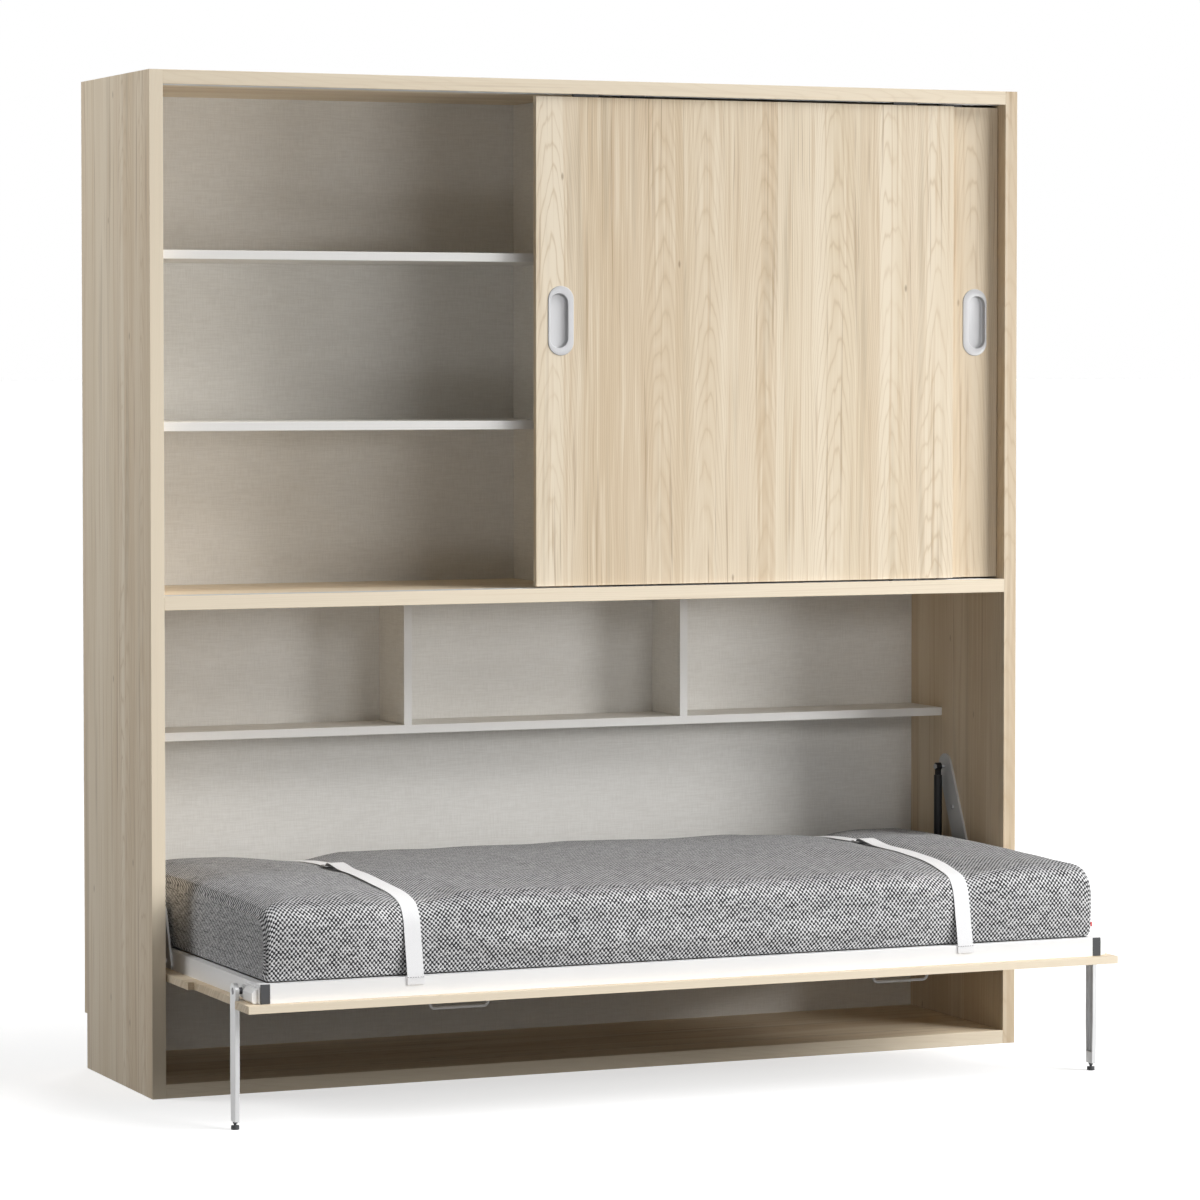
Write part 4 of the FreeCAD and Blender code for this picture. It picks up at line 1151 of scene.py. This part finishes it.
surface = BVHTree.FromObject(mattressPad, bpy.context.evaluated_depsgraph_get())
stitchRow = stitchTree()
makeStrap("Left", -mattressSizes["strapPlace"], surface, stitchRow)
makeStrap("Right", mattressSizes["strapPlace"], surface, stitchRow)


# small folded tag in the end seam of the mattress

tagSizes = {
    "tall": 0.010, "reach": 0.026, "fold": 0.0016, "thick": 0.0004, "droop": 0.006, "sewnIn": 0.002,
    "steps": 6, "foldSteps": 8, "columns": 4, "smooth": 50,
}


def makeTag():
    s = tagSizes
    low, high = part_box("mattress_tag")
    middle = (low.y + high.y) / 2
    half = s["fold"] / 2
    tip = low.x + s["reach"] - half
    there = spaced(low.x - s["sewnIn"], tip, s["steps"])
    back = spaced(tip, low.x - s["sewnIn"], s["steps"])
    path = [Vector((x, middle - half)) for x in there]
    for turn in spaced(0, math.pi, s["foldSteps"])[1:-1]:
        path.append(Vector((tip + half * math.sin(turn), middle - half * math.cos(turn))))
    path += [Vector((x, middle + half)) for x in back]
    points = []
    for place in path:
        drop = s["droop"] * ((place.x - low.x) / s["reach"]) ** 2
        points += [(place.x, place.y, z - drop) for z in spaced(low.z, low.z + s["tall"], s["columns"] - 1)]
    mesh = meshOf("tagLoop", points, gridFaces(len(path), s["columns"]))
    mesh = thickened("tagLoop", mesh, s["thick"], 0.0)
    tag = newPiece("tagLoop", mesh, tagRed, "bed", ("mattress_tag",), s["smooth"])


makeTag()
print("soft pieces made")


# floor, light and camera

stageSizes = {
    "floorHalf": 400.0, "skyLevel": 0.03, "skyTop": 0.10, "lens": 137.227, "sensor": 36.0, "farthest": 1000.0,
    "place": (-3.9557, -9.1782, 1.5533), "yaw": 0.40593, "pitch": -0.035967, "shift": -0.06,
}
# what lights the object and what the camera sees of the white paper
floorTones = {
    "lit": (0.13, 0.125, 0.12), "seen": (0.62, 0.62, 0.62), "dark": (0.0, 0.0, 0.0),
    "glow": (0.60, 0.60, 0.60),
}
# the sun, in degrees to the right of the front and above the floor
softKey = {"azimuth": 56.0, "elevation": 36.0, "spread": 46.0, "strength": 3.12, "place": (0.0, 0.0, 4.0)}
# place, aim, width, height (metres) and power
panelLamps = {
    "sideFill": ((-4.6, 2.0, 3.8), (-1.03, 0.2, 1.4), 2.4, 2.4, 116.0),
    "bedFill": ((3.2, -2.6, 1.20), (0.0, 0.4, 0.85), 1.2, 0.4, 46.0),
    "frontFill": ((0.9, -2.9, 1.60), (0.0, 0.0, 0.9), 1.2, 0.5, 14.0),
    "lowFill": ((-1.6, -3.2, 0.55), (0.0, 0.4, 0.45), 1.6, 0.5, 8.0),
    "backFill": ((2.2, 5.5, 3.0), (0.0, 0.5, 1.1), 2.4, 2.4, 110.0),
}


def cameraMask(tree):
    path = tree.nodes.new("ShaderNodeLightPath")
    seen = calc("ADD", path.outputs["Is Camera Ray"], path.outputs["Is Glossy Ray"])
    return calc("ADD", seen, path.outputs["Is Transmission Ray"], clamp=True)


def makeFloor():
    half = stageSizes["floorHalf"]
    corners = [(-half, -half, 0), (half, -half, 0), (half, half, 0), (-half, half, 0)]
    mesh = meshOf("floor", corners, [(0, 1, 2, 3)])
    made, tree, shader = newMaterial("floorPaper", roughness=0.9, specular=0.0)
    seen = cameraMask(tree)
    for label, tones in (("Base Color", ("lit", "seen")), ("Emission Color", ("dark", "glow"))):
        feed(shader.inputs[label], mixColor(seen, *[floorTones[name] for name in tones]))
    shader.inputs["Emission Strength"].default_value = 1.0
    paint(mesh, made)
    addObject("floor", mesh)


def makeSky():
    world = bpy.data.worlds.new("studio")
    scene.world = world
    world.use_nodes = True
    tree = world.node_tree
    tree.nodes.clear()
    way = separated(tree.nodes.new("ShaderNodeTexCoord").outputs["Generated"])
    height = calc("MAXIMUM", way[2], 0.0)
    level = timesPlus(times(height, height), stageSizes["skyTop"], stageSizes["skyLevel"])
    sky, white = [addNode(tree, "ShaderNodeBackground", {"Color": (1.0, 1.0, 1.0, 1.0), "Strength": strength})
                  for strength in (level, 1.0)]
    both = addNode(tree, "ShaderNodeMixShader", {0: cameraMask(tree), 1: sky, 2: white})
    addNode(tree, "ShaderNodeOutputWorld", {0: both})


def addLamp(name, kind, place, source, **settings):
    lamp = bpy.data.lights.new(name, kind)
    for key, value in settings.items():
        setattr(lamp, key, value)
    made = addObject(name, lamp)
    made.location = place
    made.rotation_mode = "QUATERNION"
    made.rotation_quaternion = source.to_track_quat("Z", "Y")


def makeLamps():
    s = softKey
    around = math.radians(s["azimuth"])
    up = math.radians(s["elevation"])
    source = Vector((math.sin(around) * math.cos(up), -math.cos(around) * math.cos(up), math.sin(up)))
    addLamp("softKey", "SUN", s["place"], source, energy=s["strength"], angle=math.radians(s["spread"]))
    for name, (place, aim, wide, tall, power) in panelLamps.items():
        addLamp(name, "AREA", place, Vector(place) - Vector(aim), energy=power, shape="RECTANGLE", size=wide,
                size_y=tall)


def makeCamera():
    s = stageSizes
    lens = bpy.data.cameras.new("photoView")
    lens.lens = s["lens"]
    lens.sensor_width = s["sensor"]
    lens.shift_y = s["shift"]
    lens.clip_end = s["farthest"]
    camera = addObject("photoView", lens)
    camera.location = s["place"]
    camera.rotation_euler = (math.pi / 2 + s["pitch"], 0.0, -s["yaw"])
    scene.camera = camera
    scene.view_settings.view_transform = "Standard"


makeFloor()
makeSky()
makeLamps()
makeCamera()
print("stage set")
